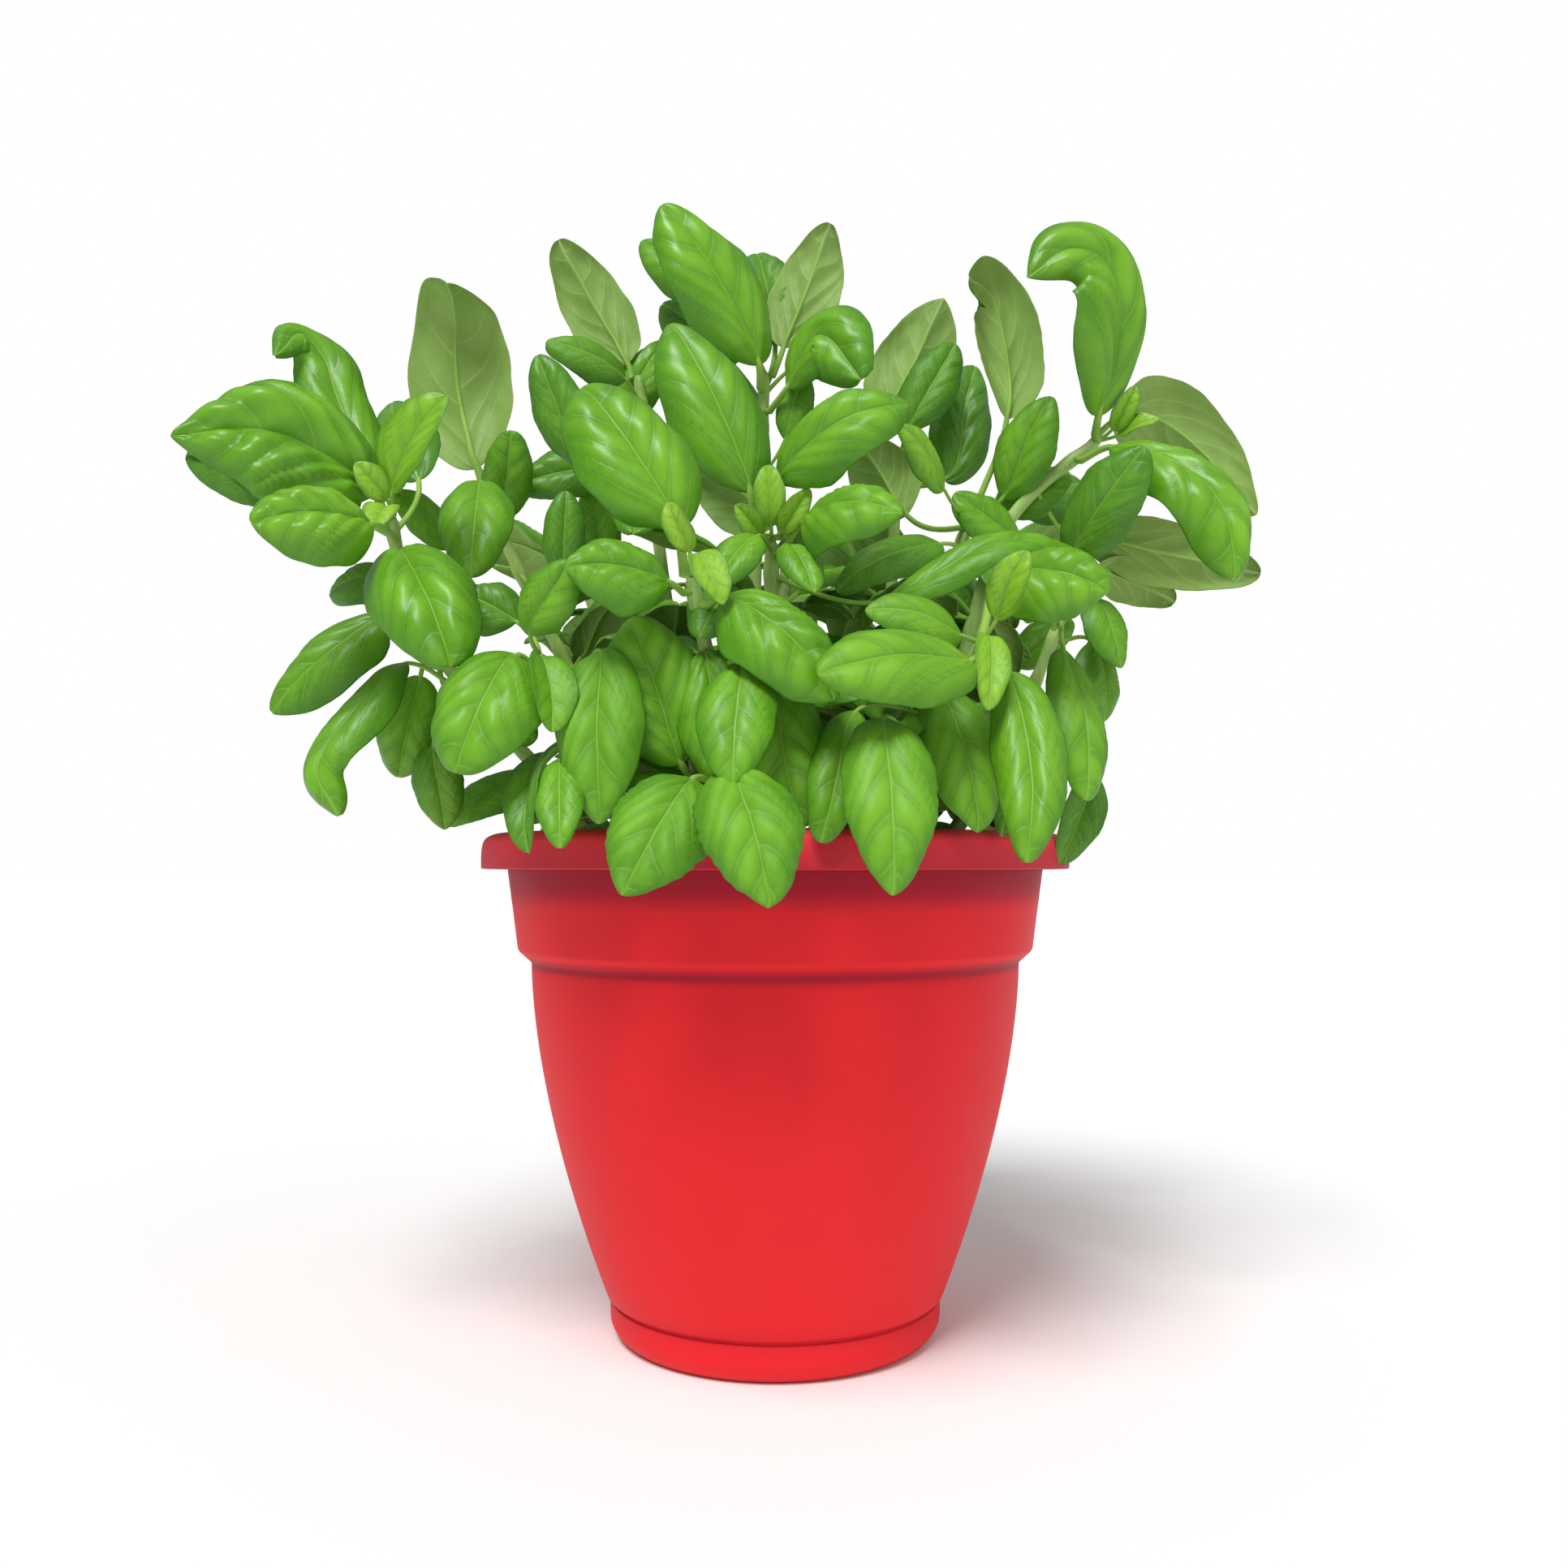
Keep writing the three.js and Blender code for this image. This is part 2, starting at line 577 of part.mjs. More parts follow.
// Every leaf hangs free: a slightly thicker copy of it must not touch anything already in place.
for (const [name, leaf] of Object.entries(LEAVES)) {
  if (!isClear(toSolid(leafGeometry(leaf, LEAF_CLEARANCE)))) throw new Error(`leaf ${name} touches a piece`);
  const geometry = leafGeometry(leaf, 0);
  placed.push(toSolid(geometry));
  addPiece(`leaf_${name}`, geometry, LEAF_GREEN);
}

export default plant;
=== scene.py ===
"""The looks of a potted basil plant, built around its CAD frame. Metres, +Z up, the plant's fullest side to
-Y."""

import math

import bmesh
import bpy
import numpy as np
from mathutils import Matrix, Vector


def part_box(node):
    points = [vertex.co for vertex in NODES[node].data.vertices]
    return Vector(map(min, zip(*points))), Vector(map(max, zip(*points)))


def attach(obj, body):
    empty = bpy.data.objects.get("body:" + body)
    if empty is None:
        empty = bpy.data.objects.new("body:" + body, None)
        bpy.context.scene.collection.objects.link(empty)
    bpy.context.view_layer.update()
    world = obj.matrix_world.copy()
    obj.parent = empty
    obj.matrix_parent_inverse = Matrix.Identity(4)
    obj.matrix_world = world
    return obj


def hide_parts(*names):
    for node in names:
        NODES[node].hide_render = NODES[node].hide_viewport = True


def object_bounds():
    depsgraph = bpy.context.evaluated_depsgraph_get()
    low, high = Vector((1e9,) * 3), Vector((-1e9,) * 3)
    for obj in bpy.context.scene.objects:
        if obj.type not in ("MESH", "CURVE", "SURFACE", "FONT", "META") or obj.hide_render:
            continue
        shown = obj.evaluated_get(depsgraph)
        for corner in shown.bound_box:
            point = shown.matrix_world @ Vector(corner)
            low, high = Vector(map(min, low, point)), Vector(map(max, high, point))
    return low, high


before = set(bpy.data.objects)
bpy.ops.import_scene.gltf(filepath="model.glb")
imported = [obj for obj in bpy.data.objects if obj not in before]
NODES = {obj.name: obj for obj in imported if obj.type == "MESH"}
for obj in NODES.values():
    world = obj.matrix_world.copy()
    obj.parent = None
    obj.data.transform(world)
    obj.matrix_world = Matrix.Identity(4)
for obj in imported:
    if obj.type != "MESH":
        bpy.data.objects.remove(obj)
cad_low, cad_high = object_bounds()

MM = 0.001


# ---- Meshes from arrays ----
def make_piece(name, points, faces, material, slot, values=None, smooth=True):
    """One object from points (n, 3) and a list of face arrays (m, 3) or (m, 4). values holds named numbers,
    one for each point, which the materials read."""
    mesh = bpy.data.meshes.new(name)
    sizes = np.concatenate([np.full(len(f), f.shape[1]) for f in faces])
    corners = np.concatenate([f.ravel() for f in faces]).astype(np.int32)
    mesh.vertices.add(len(points))
    mesh.vertices.foreach_set("co", np.asarray(points, np.float32).ravel())
    mesh.loops.add(len(corners))
    mesh.loops.foreach_set("vertex_index", corners)
    mesh.polygons.add(len(sizes))
    mesh.polygons.foreach_set("loop_start", (np.cumsum(sizes) - sizes).astype(np.int32))
    mesh.polygons.foreach_set("use_smooth", np.full(len(sizes), smooth))
    for key, numbers in (values or {}).items():
        attribute = mesh.attributes.new(key, "FLOAT", "POINT")
        attribute.data.foreach_set("value", np.asarray(numbers, np.float32).ravel())
    mesh.update(calc_edges=True)
    mesh.validate()
    mesh.materials.append(material)
    piece = bpy.data.objects.new(name, mesh)
    bpy.context.scene.collection.objects.link(piece)
    if slot:
        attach(piece, "root")
    return piece


def ring_faces(rows, columns, first=0):
    """The faces of a closed body made of rings: a pole, rows of rings with that many columns, and another
    pole. Quads join neighbouring rings and a fan closes each end. The rings run anticlockwise about the way
    they follow."""
    ring = first + 1 + np.arange(rows)[:, None] * columns
    here = np.arange(columns)
    after = (here + 1) % columns
    quads = np.stack(
        [ring[:-1] + here, ring[:-1] + after, ring[1:] + after, ring[1:] + here], -1
    ).reshape(-1, 4)
    start = np.stack([np.full(columns, first), ring[0] + after, ring[0] + here], -1)
    end_pole = first + 1 + rows * columns
    end = np.stack([ring[-1] + here, ring[-1] + after, np.full(columns, end_pole)], -1)
    return [quads, np.concatenate([start, end])]


def joined(parts):
    """Several bodies as one list of points, faces and values. parts holds (points, faces, values) for
    each."""
    offsets = np.cumsum([0] + [len(p) for p, _, _ in parts[:-1]])
    points = np.concatenate([p for p, _, _ in parts])
    faces = [f + o for (_, fs, _), o in zip(parts, offsets) for f in fs]
    values = {k: np.concatenate([np.ravel(v[k]) for _, _, v in parts]) for k in parts[0][2]}
    return points, faces, values


def unit(vectors):
    return vectors / np.maximum(np.linalg.norm(vectors, axis=-1, keepdims=True), 1e-12)


def spline(knots, values, at):
    """Natural cubic spline: a cubic between each two knots, whose slope and bend agree where two of them
    meet, and whose bend is zero at both ends."""
    knots = np.asarray(knots, float)
    values = np.asarray(values, float).reshape(len(knots), -1)
    gap = np.diff(knots)
    slope = np.diff(values, axis=0) / gap[:, None]
    system = np.eye(len(knots))
    inner = np.arange(1, len(knots) - 1)
    system[inner, inner - 1] = gap[:-1]
    system[inner, inner] = 2 * (gap[:-1] + gap[1:])
    system[inner, inner + 1] = gap[1:]
    bend = np.zeros_like(values)
    bend[inner] = 6 * np.diff(slope, axis=0)
    bend = np.linalg.solve(system, bend)
    span = np.clip(np.searchsorted(knots, at, side="right") - 1, 0, len(gap) - 1)
    g = gap[span][:, None]
    past = (np.asarray(at) - knots[span])[:, None]
    left = g - past
    return (
        (bend[span] * left**3 + bend[span + 1] * past**3) / (6 * g)
        + (values[span] / g - bend[span] * g / 6) * left
        + (values[span + 1] / g - bend[span + 1] * g / 6) * past
    )


def lengths_along(points):
    """How far along a line of points each of them is, from 0 to 1, and the line's whole length."""
    run = np.concatenate([[0], np.cumsum(np.linalg.norm(np.diff(points, axis=0), axis=1))])
    return run / run[-1], run[-1]


def squared(ups, tangents):
    """Unit vectors up and side, square to each tangent: up is the given way less its part along the
    tangent."""
    up = unit(ups - (ups * tangents).sum(-1, keepdims=True) * tangents)
    return up, np.cross(up, tangents)


# ---- What the CAD nodes say ----
def node_rings(node, columns):
    """The rings of a CAD node that was made as a pole, some rings of that many points, and a pole. Each
    point is as many edges from the first pole as its ring's number. Returns both poles and the rings, each
    in order around."""
    work = bmesh.new()
    work.from_mesh(NODES[node].data)
    bmesh.ops.remove_doubles(work, verts=work.verts, dist=2e-5)
    places = np.array([v.co for v in work.verts])
    touching = np.zeros((len(places), len(places)), bool)
    for edge in work.edges:
        a, b = (v.index for v in edge.verts)
        touching[a, b] = touching[b, a] = True
    work.free()
    degree = touching.sum(1)
    poles = [
        i for i in np.flatnonzero(degree == columns) if (degree[touching[i]] == columns - 2).all()
        or (degree[touching[i]] == 5).all()
    ]
    step = np.full(len(places), -1)
    reached = np.zeros(len(places), bool)
    reached[poles[0]] = True
    step[poles[0]] = 0
    for count in range(1, len(places)):
        fresh = touching[reached].any(0) & ~reached
        if not fresh.any():
            break
        step[fresh] = count
        reached |= fresh
    rings = []
    for count in range(1, step.max()):
        members = np.flatnonzero(step == count)
        beside = touching[np.ix_(members, members)]
        order = [0, int(np.flatnonzero(beside[0])[0])]
        while len(order) < columns:
            following = [i for i in np.flatnonzero(beside[order[-1]]) if i not in order]
            order.append(int(following[0]))
        rings.append(places[members[order]])
    return places[poles[0]], np.array(rings), places[poles[1]]


STEM_COLUMNS = 6
LEAF_COLUMNS = 7
STALK_RINGS = 3
BLADE_RINGS = 8
RING_SHIFT = 0.35  # a blade's ring number r is at share (r + RING_SHIFT) / BLADE_RINGS of the blade


def read_stem(node):
    """A stem's centre line, from the soil up, and its radius there."""
    _, rings, _ = node_rings(node, STEM_COLUMNS)
    if rings[0].mean(0)[2] > rings[-1].mean(0)[2]:
        rings = rings[::-1]
    centres = rings.mean(1)
    return centres, np.linalg.norm(rings - centres[:, None], axis=2).mean(1)


def read_leaf(node):
    """A leaf's line from its stalk's start to its tip, the way that its upper side faces along it, the
    share of the line that is stalk, its blade's width, and its cup: how far its edges lift, as a share of
    half the width."""
    start, rings, end = node_rings(node, LEAF_COLUMNS)
    spread = np.linalg.norm(rings - rings.mean(1, keepdims=True), axis=2).max(1)
    if spread[-1] < spread[0]:
        start, rings, end = end, rings[::-1], start
    centres, ups, halves, cups = [], [], [], []
    for ring in rings[STALK_RINGS:]:
        apart = np.linalg.norm(ring[:, None] - ring[None], axis=2)
        first, second = np.unravel_index(apart.argmax(), apart.shape)
        if (second - first) % LEAF_COLUMNS != 4:
            first, second = second, first
        # Going round from first, three points of the upper side come before second.
        ring = np.roll(ring, -first, axis=0)
        across = (second - first) % LEAF_COLUMNS
        if across != 4:
            raise ValueError(f"{node} isn't laid out as a leaf")
        half = np.linalg.norm(ring[4] - ring[0]) / 2
        below = (ring[5] + ring[6]) / 2
        side = unit(ring[0] - ring[4])
        up = ring[2] - below
        up = unit(up - (up @ side) * side)
        centre = ring[2] - up * (ring[2] - below) @ up / 2
        centres.append(centre)
        ups.append(up)
        halves.append(half)
        cups.append((((ring[0] + ring[4]) / 2 - centre) @ up) / half)
    line = np.array([start, *rings[1:STALK_RINGS].mean(1), *centres, end])
    share, _ = lengths_along(line)
    foot = share[STALK_RINGS - 1] * STALK_RINGS / (STALK_RINGS - 1)
    ups = np.array([ups[0]] * STALK_RINGS + ups + ups[-1:])
    return {"line": line, "ups": ups, "foot": foot, "width": 2 * max(halves), "cup": float(np.mean(cups))}


STEMS = {n[5:]: read_stem(n) for n in NODES if n.startswith("stem_")}


def stem_point(stem, at):
    """The point at a share of a stem's length above the soil's sockets, and the way that the stem runs
    there."""
    centres, _ = STEMS[stem]
    share, _ = lengths_along(centres)
    near = spline(share, centres, np.array([at, max(at - 0.02, 0), min(at + 0.02, 1)]))
    return near[0], unit(near[2] - near[1])


def nearest_on_stems(place):
    """The nearest point of any stem's centre line, with that stem's name and the share of its length
    there."""
    found = []
    for name, (centres, _) in STEMS.items():
        share, _ = lengths_along(centres)
        fine = np.linspace(0, 1, 91)
        line = spline(share, centres, fine)
        away = np.linalg.norm(line - place, axis=1)
        found.append((away.min(), name, fine[away.argmin()], line[away.argmin()]))
    return min(found, key=lambda entry: entry[0])


# ---- Materials ----
class Finish:
    """A material's node tree, with short ways to add nodes to it."""

    def __init__(self, name):
        self.material = bpy.data.materials.new(name)
        self.material.use_nodes = True
        self.tree = self.material.node_tree
        self.tree.nodes.clear()
        output = self.tree.nodes.new("ShaderNodeOutputMaterial")
        self.shader = self.tree.nodes.new("ShaderNodeBsdfPrincipled")
        self.tree.links.new(self.shader.outputs[0], output.inputs["Surface"])
        self.place = self.node("ShaderNodeTexCoord").outputs["Object"]

    def node(self, kind, inputs=None, **settings):
        made = self.tree.nodes.new(kind)
        for key, value in settings.items():
            setattr(made, key, value)
        for key, value in (inputs or {}).items():
            self.feed(made.inputs[key], value)
        return made

    def feed(self, socket, value):
        if isinstance(value, bpy.types.NodeSocket):
            self.tree.links.new(value, socket)
        else:
            socket.default_value = value

    def set(self, **inputs):
        for key, value in inputs.items():
            self.feed(self.shader.inputs[key.replace("_", " ")], value)

    def value(self, name):
        return self.node("ShaderNodeAttribute", attribute_name=name).outputs["Fac"]

    def math(self, operation, *numbers):
        return self.node("ShaderNodeMath", dict(enumerate(numbers)), operation=operation).outputs[0]

    def ramp(self, value, low, high, out_low=0.0, out_high=1.0):
        """Smoothly from out_low where value is low or less to out_high where it is high or more."""
        inputs = {0: value, 1: low, 2: high, 3: out_low, 4: out_high}
        return self.node("ShaderNodeMapRange", inputs, interpolation_type="SMOOTHSTEP").outputs[0]

    def mix(self, share, a, b):
        made = self.node("ShaderNodeMix", data_type="RGBA")
        for index, value in ((0, share), (6, a), (7, b)):
            self.feed(made.inputs[index], value)
        return made.outputs[2]

    def noise(self, scale, detail=3.0, roughness=0.55, where=None):
        inputs = {"Vector": where or self.place, "Scale": scale, "Detail": detail, "Roughness": roughness}
        return self.node("ShaderNodeTexNoise", inputs).outputs["Fac"]

    def cells(self, scale, feature="F1"):
        inputs = {"Vector": self.place, "Scale": scale}
        return self.node("ShaderNodeTexVoronoi", inputs, feature=feature).outputs["Distance"]

    def bump(self, height, distance, strength=1.0, normal=None):
        inputs = {"Height": height, "Distance": distance, "Strength": strength}
        if normal is not None:
            inputs["Normal"] = normal
        return self.node("ShaderNodeBump", inputs).outputs[0]


def colour(red, green, blue):
    return (red, green, blue, 1.0)


def leaf_finish():
    """Leaf: fresh green and softly glossy above, paler and matt below, with light veins on both sides. Above,
    it has painted shade in the grooves between the swellings and towards its edges, a painted highlight on
    the swellings and a painted sheen towards the midrib. A leaf's points carry its tone, which holds its age
    and a painted shade, its side, its vein number, and their distances from the midrib."""
    f = Finish("leaf_green")
    under, tone, stalk = f.value("under"), f.value("tone"), f.value("stalk")
    vein, midrib, across = f.value("vein"), f.value("midrib"), f.value("across")
    cloud = f.noise(45.0, 3.0, 0.5)
    mottle = f.noise(420.0, 3.0, 0.6)
    # Lateral veins: how far the vein number is from a whole one, over how fast it changes, is a distance in
    # mm.
    off_whole = f.math("ABSOLUTE", f.math("SUBTRACT", vein, f.math("ROUND", vein)))
    distance = f.math("DIVIDE", off_whole, f.value("steep"))
    width = f.ramp(across, 0.0, 0.9, 0.34, 0.16)
    lateral = f.ramp(f.math("DIVIDE", distance, width), 0.5, 1.8, 1.0, 0.0)
    lateral = f.math("MULTIPLY", lateral, f.ramp(across, 0.6, 0.93, 1.0, 0.0))
    middle = f.ramp(midrib, 0.25, 0.75, 1.0, 0.0)
    veins = f.math("MAXIMUM", middle, f.math("MULTIPLY", lateral, 0.55))
    net = f.ramp(f.cells(330.0, "DISTANCE_TO_EDGE"), 0.0, 0.12, 1.0, 0.0)
    fine = f.math("MAXIMUM", veins, f.math("MULTIPLY", net, 0.14))

    deep = f.mix(f.ramp(cloud, 0.35, 0.65), colour(0.098, 0.305, 0.007), colour(0.155, 0.415, 0.012))
    young = f.mix(f.ramp(cloud, 0.35, 0.65), colour(0.24, 0.49, 0.018), colour(0.31, 0.56, 0.035))
    # The dark end of the tone: old leaves, and painted shade for leaves inside the plant.
    old_and_shaded = f.mix(f.ramp(cloud, 0.35, 0.65), colour(0.045, 0.17, 0.012), colour(0.07, 0.225, 0.018))
    upper = f.mix(f.ramp(tone, 0.0, 1.0), deep, young)
    upper = f.mix(f.ramp(tone, -1.0, 0.0, 1.0, 0.0), upper, old_and_shaded)
    upper = f.mix(f.math("MULTIPLY", f.ramp(mottle, 0.3, 0.7), 0.2), upper, colour(0.16, 0.41, 0.02))
    swell = f.value("swell")
    # Painted shade where the blade is low between its swellings, and a painted highlight on their crowns.
    upper = f.mix(f.ramp(swell, 0.0, 0.55, 0.38, 0.0), upper, colour(0.035, 0.16, 0.004))
    upper = f.mix(f.ramp(swell, 0.6, 1.0, 0.0, 0.22), upper, colour(0.23, 0.50, 0.03))
    # Painted shade towards the edges, and a painted sheen towards the midrib.
    upper = f.mix(f.ramp(across, 0.55, 1.0, 0.0, 0.42), upper, colour(0.045, 0.2, 0.004))
    upper = f.mix(f.ramp(across, 0.0, 0.35, 0.2, 0.0), upper, colour(0.22, 0.50, 0.03))
    upper = f.mix(f.math("MULTIPLY", fine, 0.34), upper, colour(0.34, 0.58, 0.10))
    lower = f.mix(f.ramp(cloud, 0.3, 0.7), colour(0.19, 0.33, 0.055), colour(0.25, 0.41, 0.085))
    lower = f.mix(f.math("MULTIPLY", fine, 0.5), lower, colour(0.42, 0.60, 0.23))
    blade = f.mix(under, upper, lower)
    stem_colour = f.mix(f.ramp(cloud, 0.35, 0.65), colour(0.22, 0.42, 0.05), colour(0.30, 0.52, 0.08))
    f.set(Base_Color=f.mix(stalk, blade, stem_colour))

    shine = f.math("ADD", f.ramp(mottle, 0.25, 0.75, 0.31, 0.39), f.math("MULTIPLY", under, 0.2))
    shine = f.math("ADD", shine, f.ramp(f.value("gloss"), 0.0, 1.0, 0.26, 0.0))
    f.set(Roughness=shine, IOR=1.40)
    height = f.math("SUBTRACT", f.math("MULTIPLY", mottle, 0.35), fine)
    height = f.math("MULTIPLY", height, f.ramp(under, 0.0, 1.0, 1.0, -1.0))
    f.set(Normal=f.bump(height, 0.00012, 0.7))
    return f.material


def stem_finish():
    """Stem: pale green and smooth, streaked along its length, a little browner near the soil."""
    f = Finish("stem_green")
    stretched = f.node("ShaderNodeMapping", {"Vector": f.place, "Scale": (1.0, 1.0, 0.12)}).outputs[0]
    streak = f.noise(900.0, 3.0, 0.6, stretched)
    cloud = f.noise(60.0, 2.0, 0.5)
    base = f.mix(f.ramp(cloud, 0.3, 0.7), colour(0.24, 0.42, 0.075), colour(0.36, 0.55, 0.14))
    base = f.mix(f.math("MULTIPLY", f.ramp(streak, 0.35, 0.7), 0.35), base, colour(0.50, 0.66, 0.26))
    base = f.mix(f.math("MULTIPLY", f.value("low"), 0.6), base, colour(0.19, 0.20, 0.07))
    f.set(Base_Color=base, Roughness=f.ramp(streak, 0.2, 0.8, 0.38, 0.55), IOR=1.42)
    f.set(Normal=f.bump(streak, 0.0002, 0.5))
    return f.material


def pot_finish():
    """Moulded plastic: one strong red, satin, with the faint clouding and fine grain of the mould, painted
    shade in its inner corners that is darkest as a painted shadow under the lip, and painted light that makes
    the lip paler.
    """
    f = Finish("pot_red")
    cloud = f.noise(22.0, 4.0, 0.6)
    grain = f.noise(1500.0, 2.0, 0.5)
    wide = f.noise(7.0, 2.0, 0.5)
    base = f.mix(f.ramp(cloud, 0.3, 0.7), colour(0.74, 0.013, 0.019), colour(0.80, 0.017, 0.023))
    base = f.mix(f.math("MULTIPLY", f.ramp(wide, 0.35, 0.7), 0.35), base, colour(0.83, 0.024, 0.032))
    # Painted light: the lip is painted a paler red, as if it were lit more brightly.
    base = f.mix(f.math("MULTIPLY", f.value("painted_lip_light"), 0.85), base, colour(0.95, 0.055, 0.070))
    # Painted shade: darker plastic in the inner corners, most of all a painted shadow under the lip.
    base = f.mix(f.value("crease_painted_shade"), base, colour(0.24, 0.003, 0.022))
    f.set(Base_Color=base, Roughness=f.ramp(cloud, 0.25, 0.75, 0.5, 0.62), IOR=1.28)
    coarse = f.bump(cloud, 0.0004, 0.25)
    f.set(Normal=f.bump(grain, 0.00005, 0.35, coarse))
    return f.material


def soil_finish():
    """Potting soil: dark brown crumbs with painted shade in the hollows between them, and paler fibres."""
    f = Finish("soil_dark")
    crumb = f.cells(260.0)
    fine = f.noise(700.0, 4.0, 0.7)
    # Painted shade: darker where the crumb cells meet, in the hollows between crumbs.
    base = f.mix(f.ramp(crumb, 0.1, 0.7), colour(0.055, 0.033, 0.020), colour(0.016, 0.010, 0.007))
    base = f.mix(f.math("MULTIPLY", f.ramp(fine, 0.55, 0.75), 0.5), base, colour(0.13, 0.085, 0.05))
    f.set(Base_Color=base, Roughness=f.ramp(fine, 0.2, 0.8, 0.8, 1.0))
    f.set(Normal=f.bump(fine, 0.0012, 0.8, f.bump(crumb, 0.0015, 0.6)))
    return f.material


def grit_finish(name, dark, light, roughness):
    """Loose bits in the soil, with a grain from one tone to another."""
    f = Finish(name)
    grain = f.noise(800.0, 3.0, 0.6)
    f.set(Base_Color=f.mix(f.ramp(grain, 0.3, 0.7), dark, light), Roughness=roughness)
    f.set(Normal=f.bump(grain, 0.0004, 0.6))
    return f.material


LEAF = leaf_finish()
STEM = stem_finish()
POT = pot_finish()
SOIL = soil_finish()
PERLITE = grit_finish("perlite", colour(0.55, 0.53, 0.48), colour(0.80, 0.78, 0.74), 0.9)
BARK = grit_finish("bark", colour(0.035, 0.02, 0.012), colour(0.13, 0.075, 0.04), 0.95)


# ---- Leaves ----
BLADE_THICKNESS = 0.45 * MM
EDGE_THICKNESS = 0.22 * MM
SKEW = 0.85  # puts the blade's widest point nearer its foot
WIDEST = 0.5 ** (1 / SKEW)
VEINS = 4.3  # pairs of lateral veins
VEIN_SWEEP = 0.62  # how far forward a lateral vein has swept at the edge, as a share of the blade
ROW_STEP = 0.95 * MM
COLUMN_STEP = 0.85 * MM


def leaf_line(leaf, at):
    """Points of a leaf's line at shares of its length, with unit vectors up and to the side."""
    share, _ = lengths_along(leaf["line"])
    points = spline(share, leaf["line"], at)
    step = 0.004
    ahead = spline(share, leaf["line"], np.minimum(at + step, 1))
    behind = spline(share, leaf["line"], np.maximum(at - step, 0))
    up, side = squared(spline(share, leaf["ups"], at), unit(ahead - behind))
    return points, up, side


def blade_body(leaf, traits):
    """The blade. For a share s from foot to tip and v from -1 to 1 across it, half its width is W/2 sin(pi
    s^0.85)^p, with one power p before the widest place and another after it. Its surface lifts over the
    midrib's line by cup v^2 for the section's own curl, by a dome sin(pi |v|) for each half, by swellings
    ((1 - cos(2 pi n))/2)^0.75 between the lateral veins, where n is the vein number, by small bumps, and by
    a wave sin(2 pi k s) at the edges. A vein that starts at the midrib at s0 sweeps forward as s = s0 +
    sweep |v|^1.15 (1 - s0), and its number is VEINS s0^0.85. The upper and lower sides stand half the
    thickness off that surface."""
    foot = leaf["foot"]
    _, length = lengths_along(leaf["line"])
    blade_length = length * (1 - foot)
    half_width = leaf["width"] / 2
    rows = int(np.clip(blade_length / ROW_STEP, 26, 72))
    columns = 2 * int(np.clip(half_width / COLUMN_STEP, 9, 21)) + 1

    turn = (np.arange(rows) + 0.5) / rows
    s = (turn - 0.22 * np.sin(2 * np.pi * turn) / (2 * np.pi))[:, None]
    t = np.linspace(1, -1, columns)
    v = (t - 0.5 * np.sin(2 * np.pi * t) / (2 * np.pi))[None, :]
    away = np.abs(v)

    points, up, side = leaf_line(leaf, foot + (1 - foot) * s[:, 0])
    twist = traits["twist"] * (s - 0.3)
    turned_up = up * np.cos(twist) + side * np.sin(twist)
    side = side * np.cos(twist) - up * np.sin(twist)
    up = turned_up

    edge_phase = np.where(v > 0, traits["phase"], traits["phase"] + 2.1)
    power = np.where(s < WIDEST, traits["base"], traits["point"])
    half = half_width * np.sin(np.pi * s**SKEW) ** power
    ripple = 1 + 0.022 * np.sin(2 * np.pi * (3.2 * s + edge_phase)) * away**2
    teeth = 1 + traits["teeth"] * (np.abs(((11 * s + edge_phase) % 1) - 0.5) - 0.25) * away**6
    reach = half * v * ripple * teeth

    swept = VEIN_SWEEP * away**1.15
    origin = (s - swept) / (1 - swept)
    number = np.where(origin > 0, VEINS * origin**0.85, -np.tanh(2.2 * (swept - s)))
    number = number + np.where(v > 0, 0.0, 0.32) + 0.10 * np.sin(6 * s + 4 * v + 6 * traits["phase"])
    swell = (0.5 - 0.5 * np.cos(2 * np.pi * number)) ** 0.75
    near_midrib = np.clip(away / 0.28, 0, 1)
    inside = near_midrib * (2 - near_midrib) * (1 - away**5) * np.sin(np.pi * np.clip(s, 0, 1)) ** 0.4
    bumps = np.sin(2 * np.pi * (2.6 * away + 0.5 * number + traits["phase"])) * np.sin(9.5 * s + 3 * v)
    fade = np.clip((s - 0.02) / 0.12, 0, 1)
    lift = half * leaf["cup"] * v**2
    lift = lift + traits["dome"] * half * np.sin(np.pi * away) * fade
    lift = lift + traits["pucker"] * half_width * inside * (swell + 0.28 * bumps)
    lift = lift + traits["wave"] * half_width * away**3 * np.sin(2 * np.pi * (1.7 * s + edge_phase)) * fade
    lift = lift - traits["droop"] * blade_length * np.clip((s - 0.72) / 0.28, 0, 1) ** 2

    middle = points[:, None] + reach[..., None] * side[:, None] + lift[..., None] * up[:, None]
    along = np.gradient(middle, axis=0)
    sideways = np.gradient(middle, axis=1) * -1
    normal = unit(np.cross(along, sideways) * -1)
    facing = np.sign((normal * up[:, None]).sum(-1, keepdims=True))
    normal = normal * np.where(facing == 0, 1, facing)
    steepness = np.hypot(
        np.gradient(number, axis=0) / np.maximum(np.linalg.norm(along, axis=-1), 1e-6),
        np.gradient(number, axis=1) / np.maximum(np.linalg.norm(sideways, axis=-1), 1e-6),
    ) * MM
    steepness = np.minimum(steepness, 0.6)
    off_vein = (number - np.round(number)) / np.maximum(steepness, 0.02) / 0.6
    on_vein = np.exp(-(off_vein**2)) * (1 - away**2)
    thick = EDGE_THICKNESS + (BLADE_THICKNESS - EDGE_THICKNESS) * (1 - away**6)
    thick = thick * np.clip(half / (4 * MM), 0.35, 1)
    top = middle + normal * (thick / 2)[..., None]
    bottom = middle - normal * (thick / 2 + 0.18 * MM * on_vein * inside)[..., None]

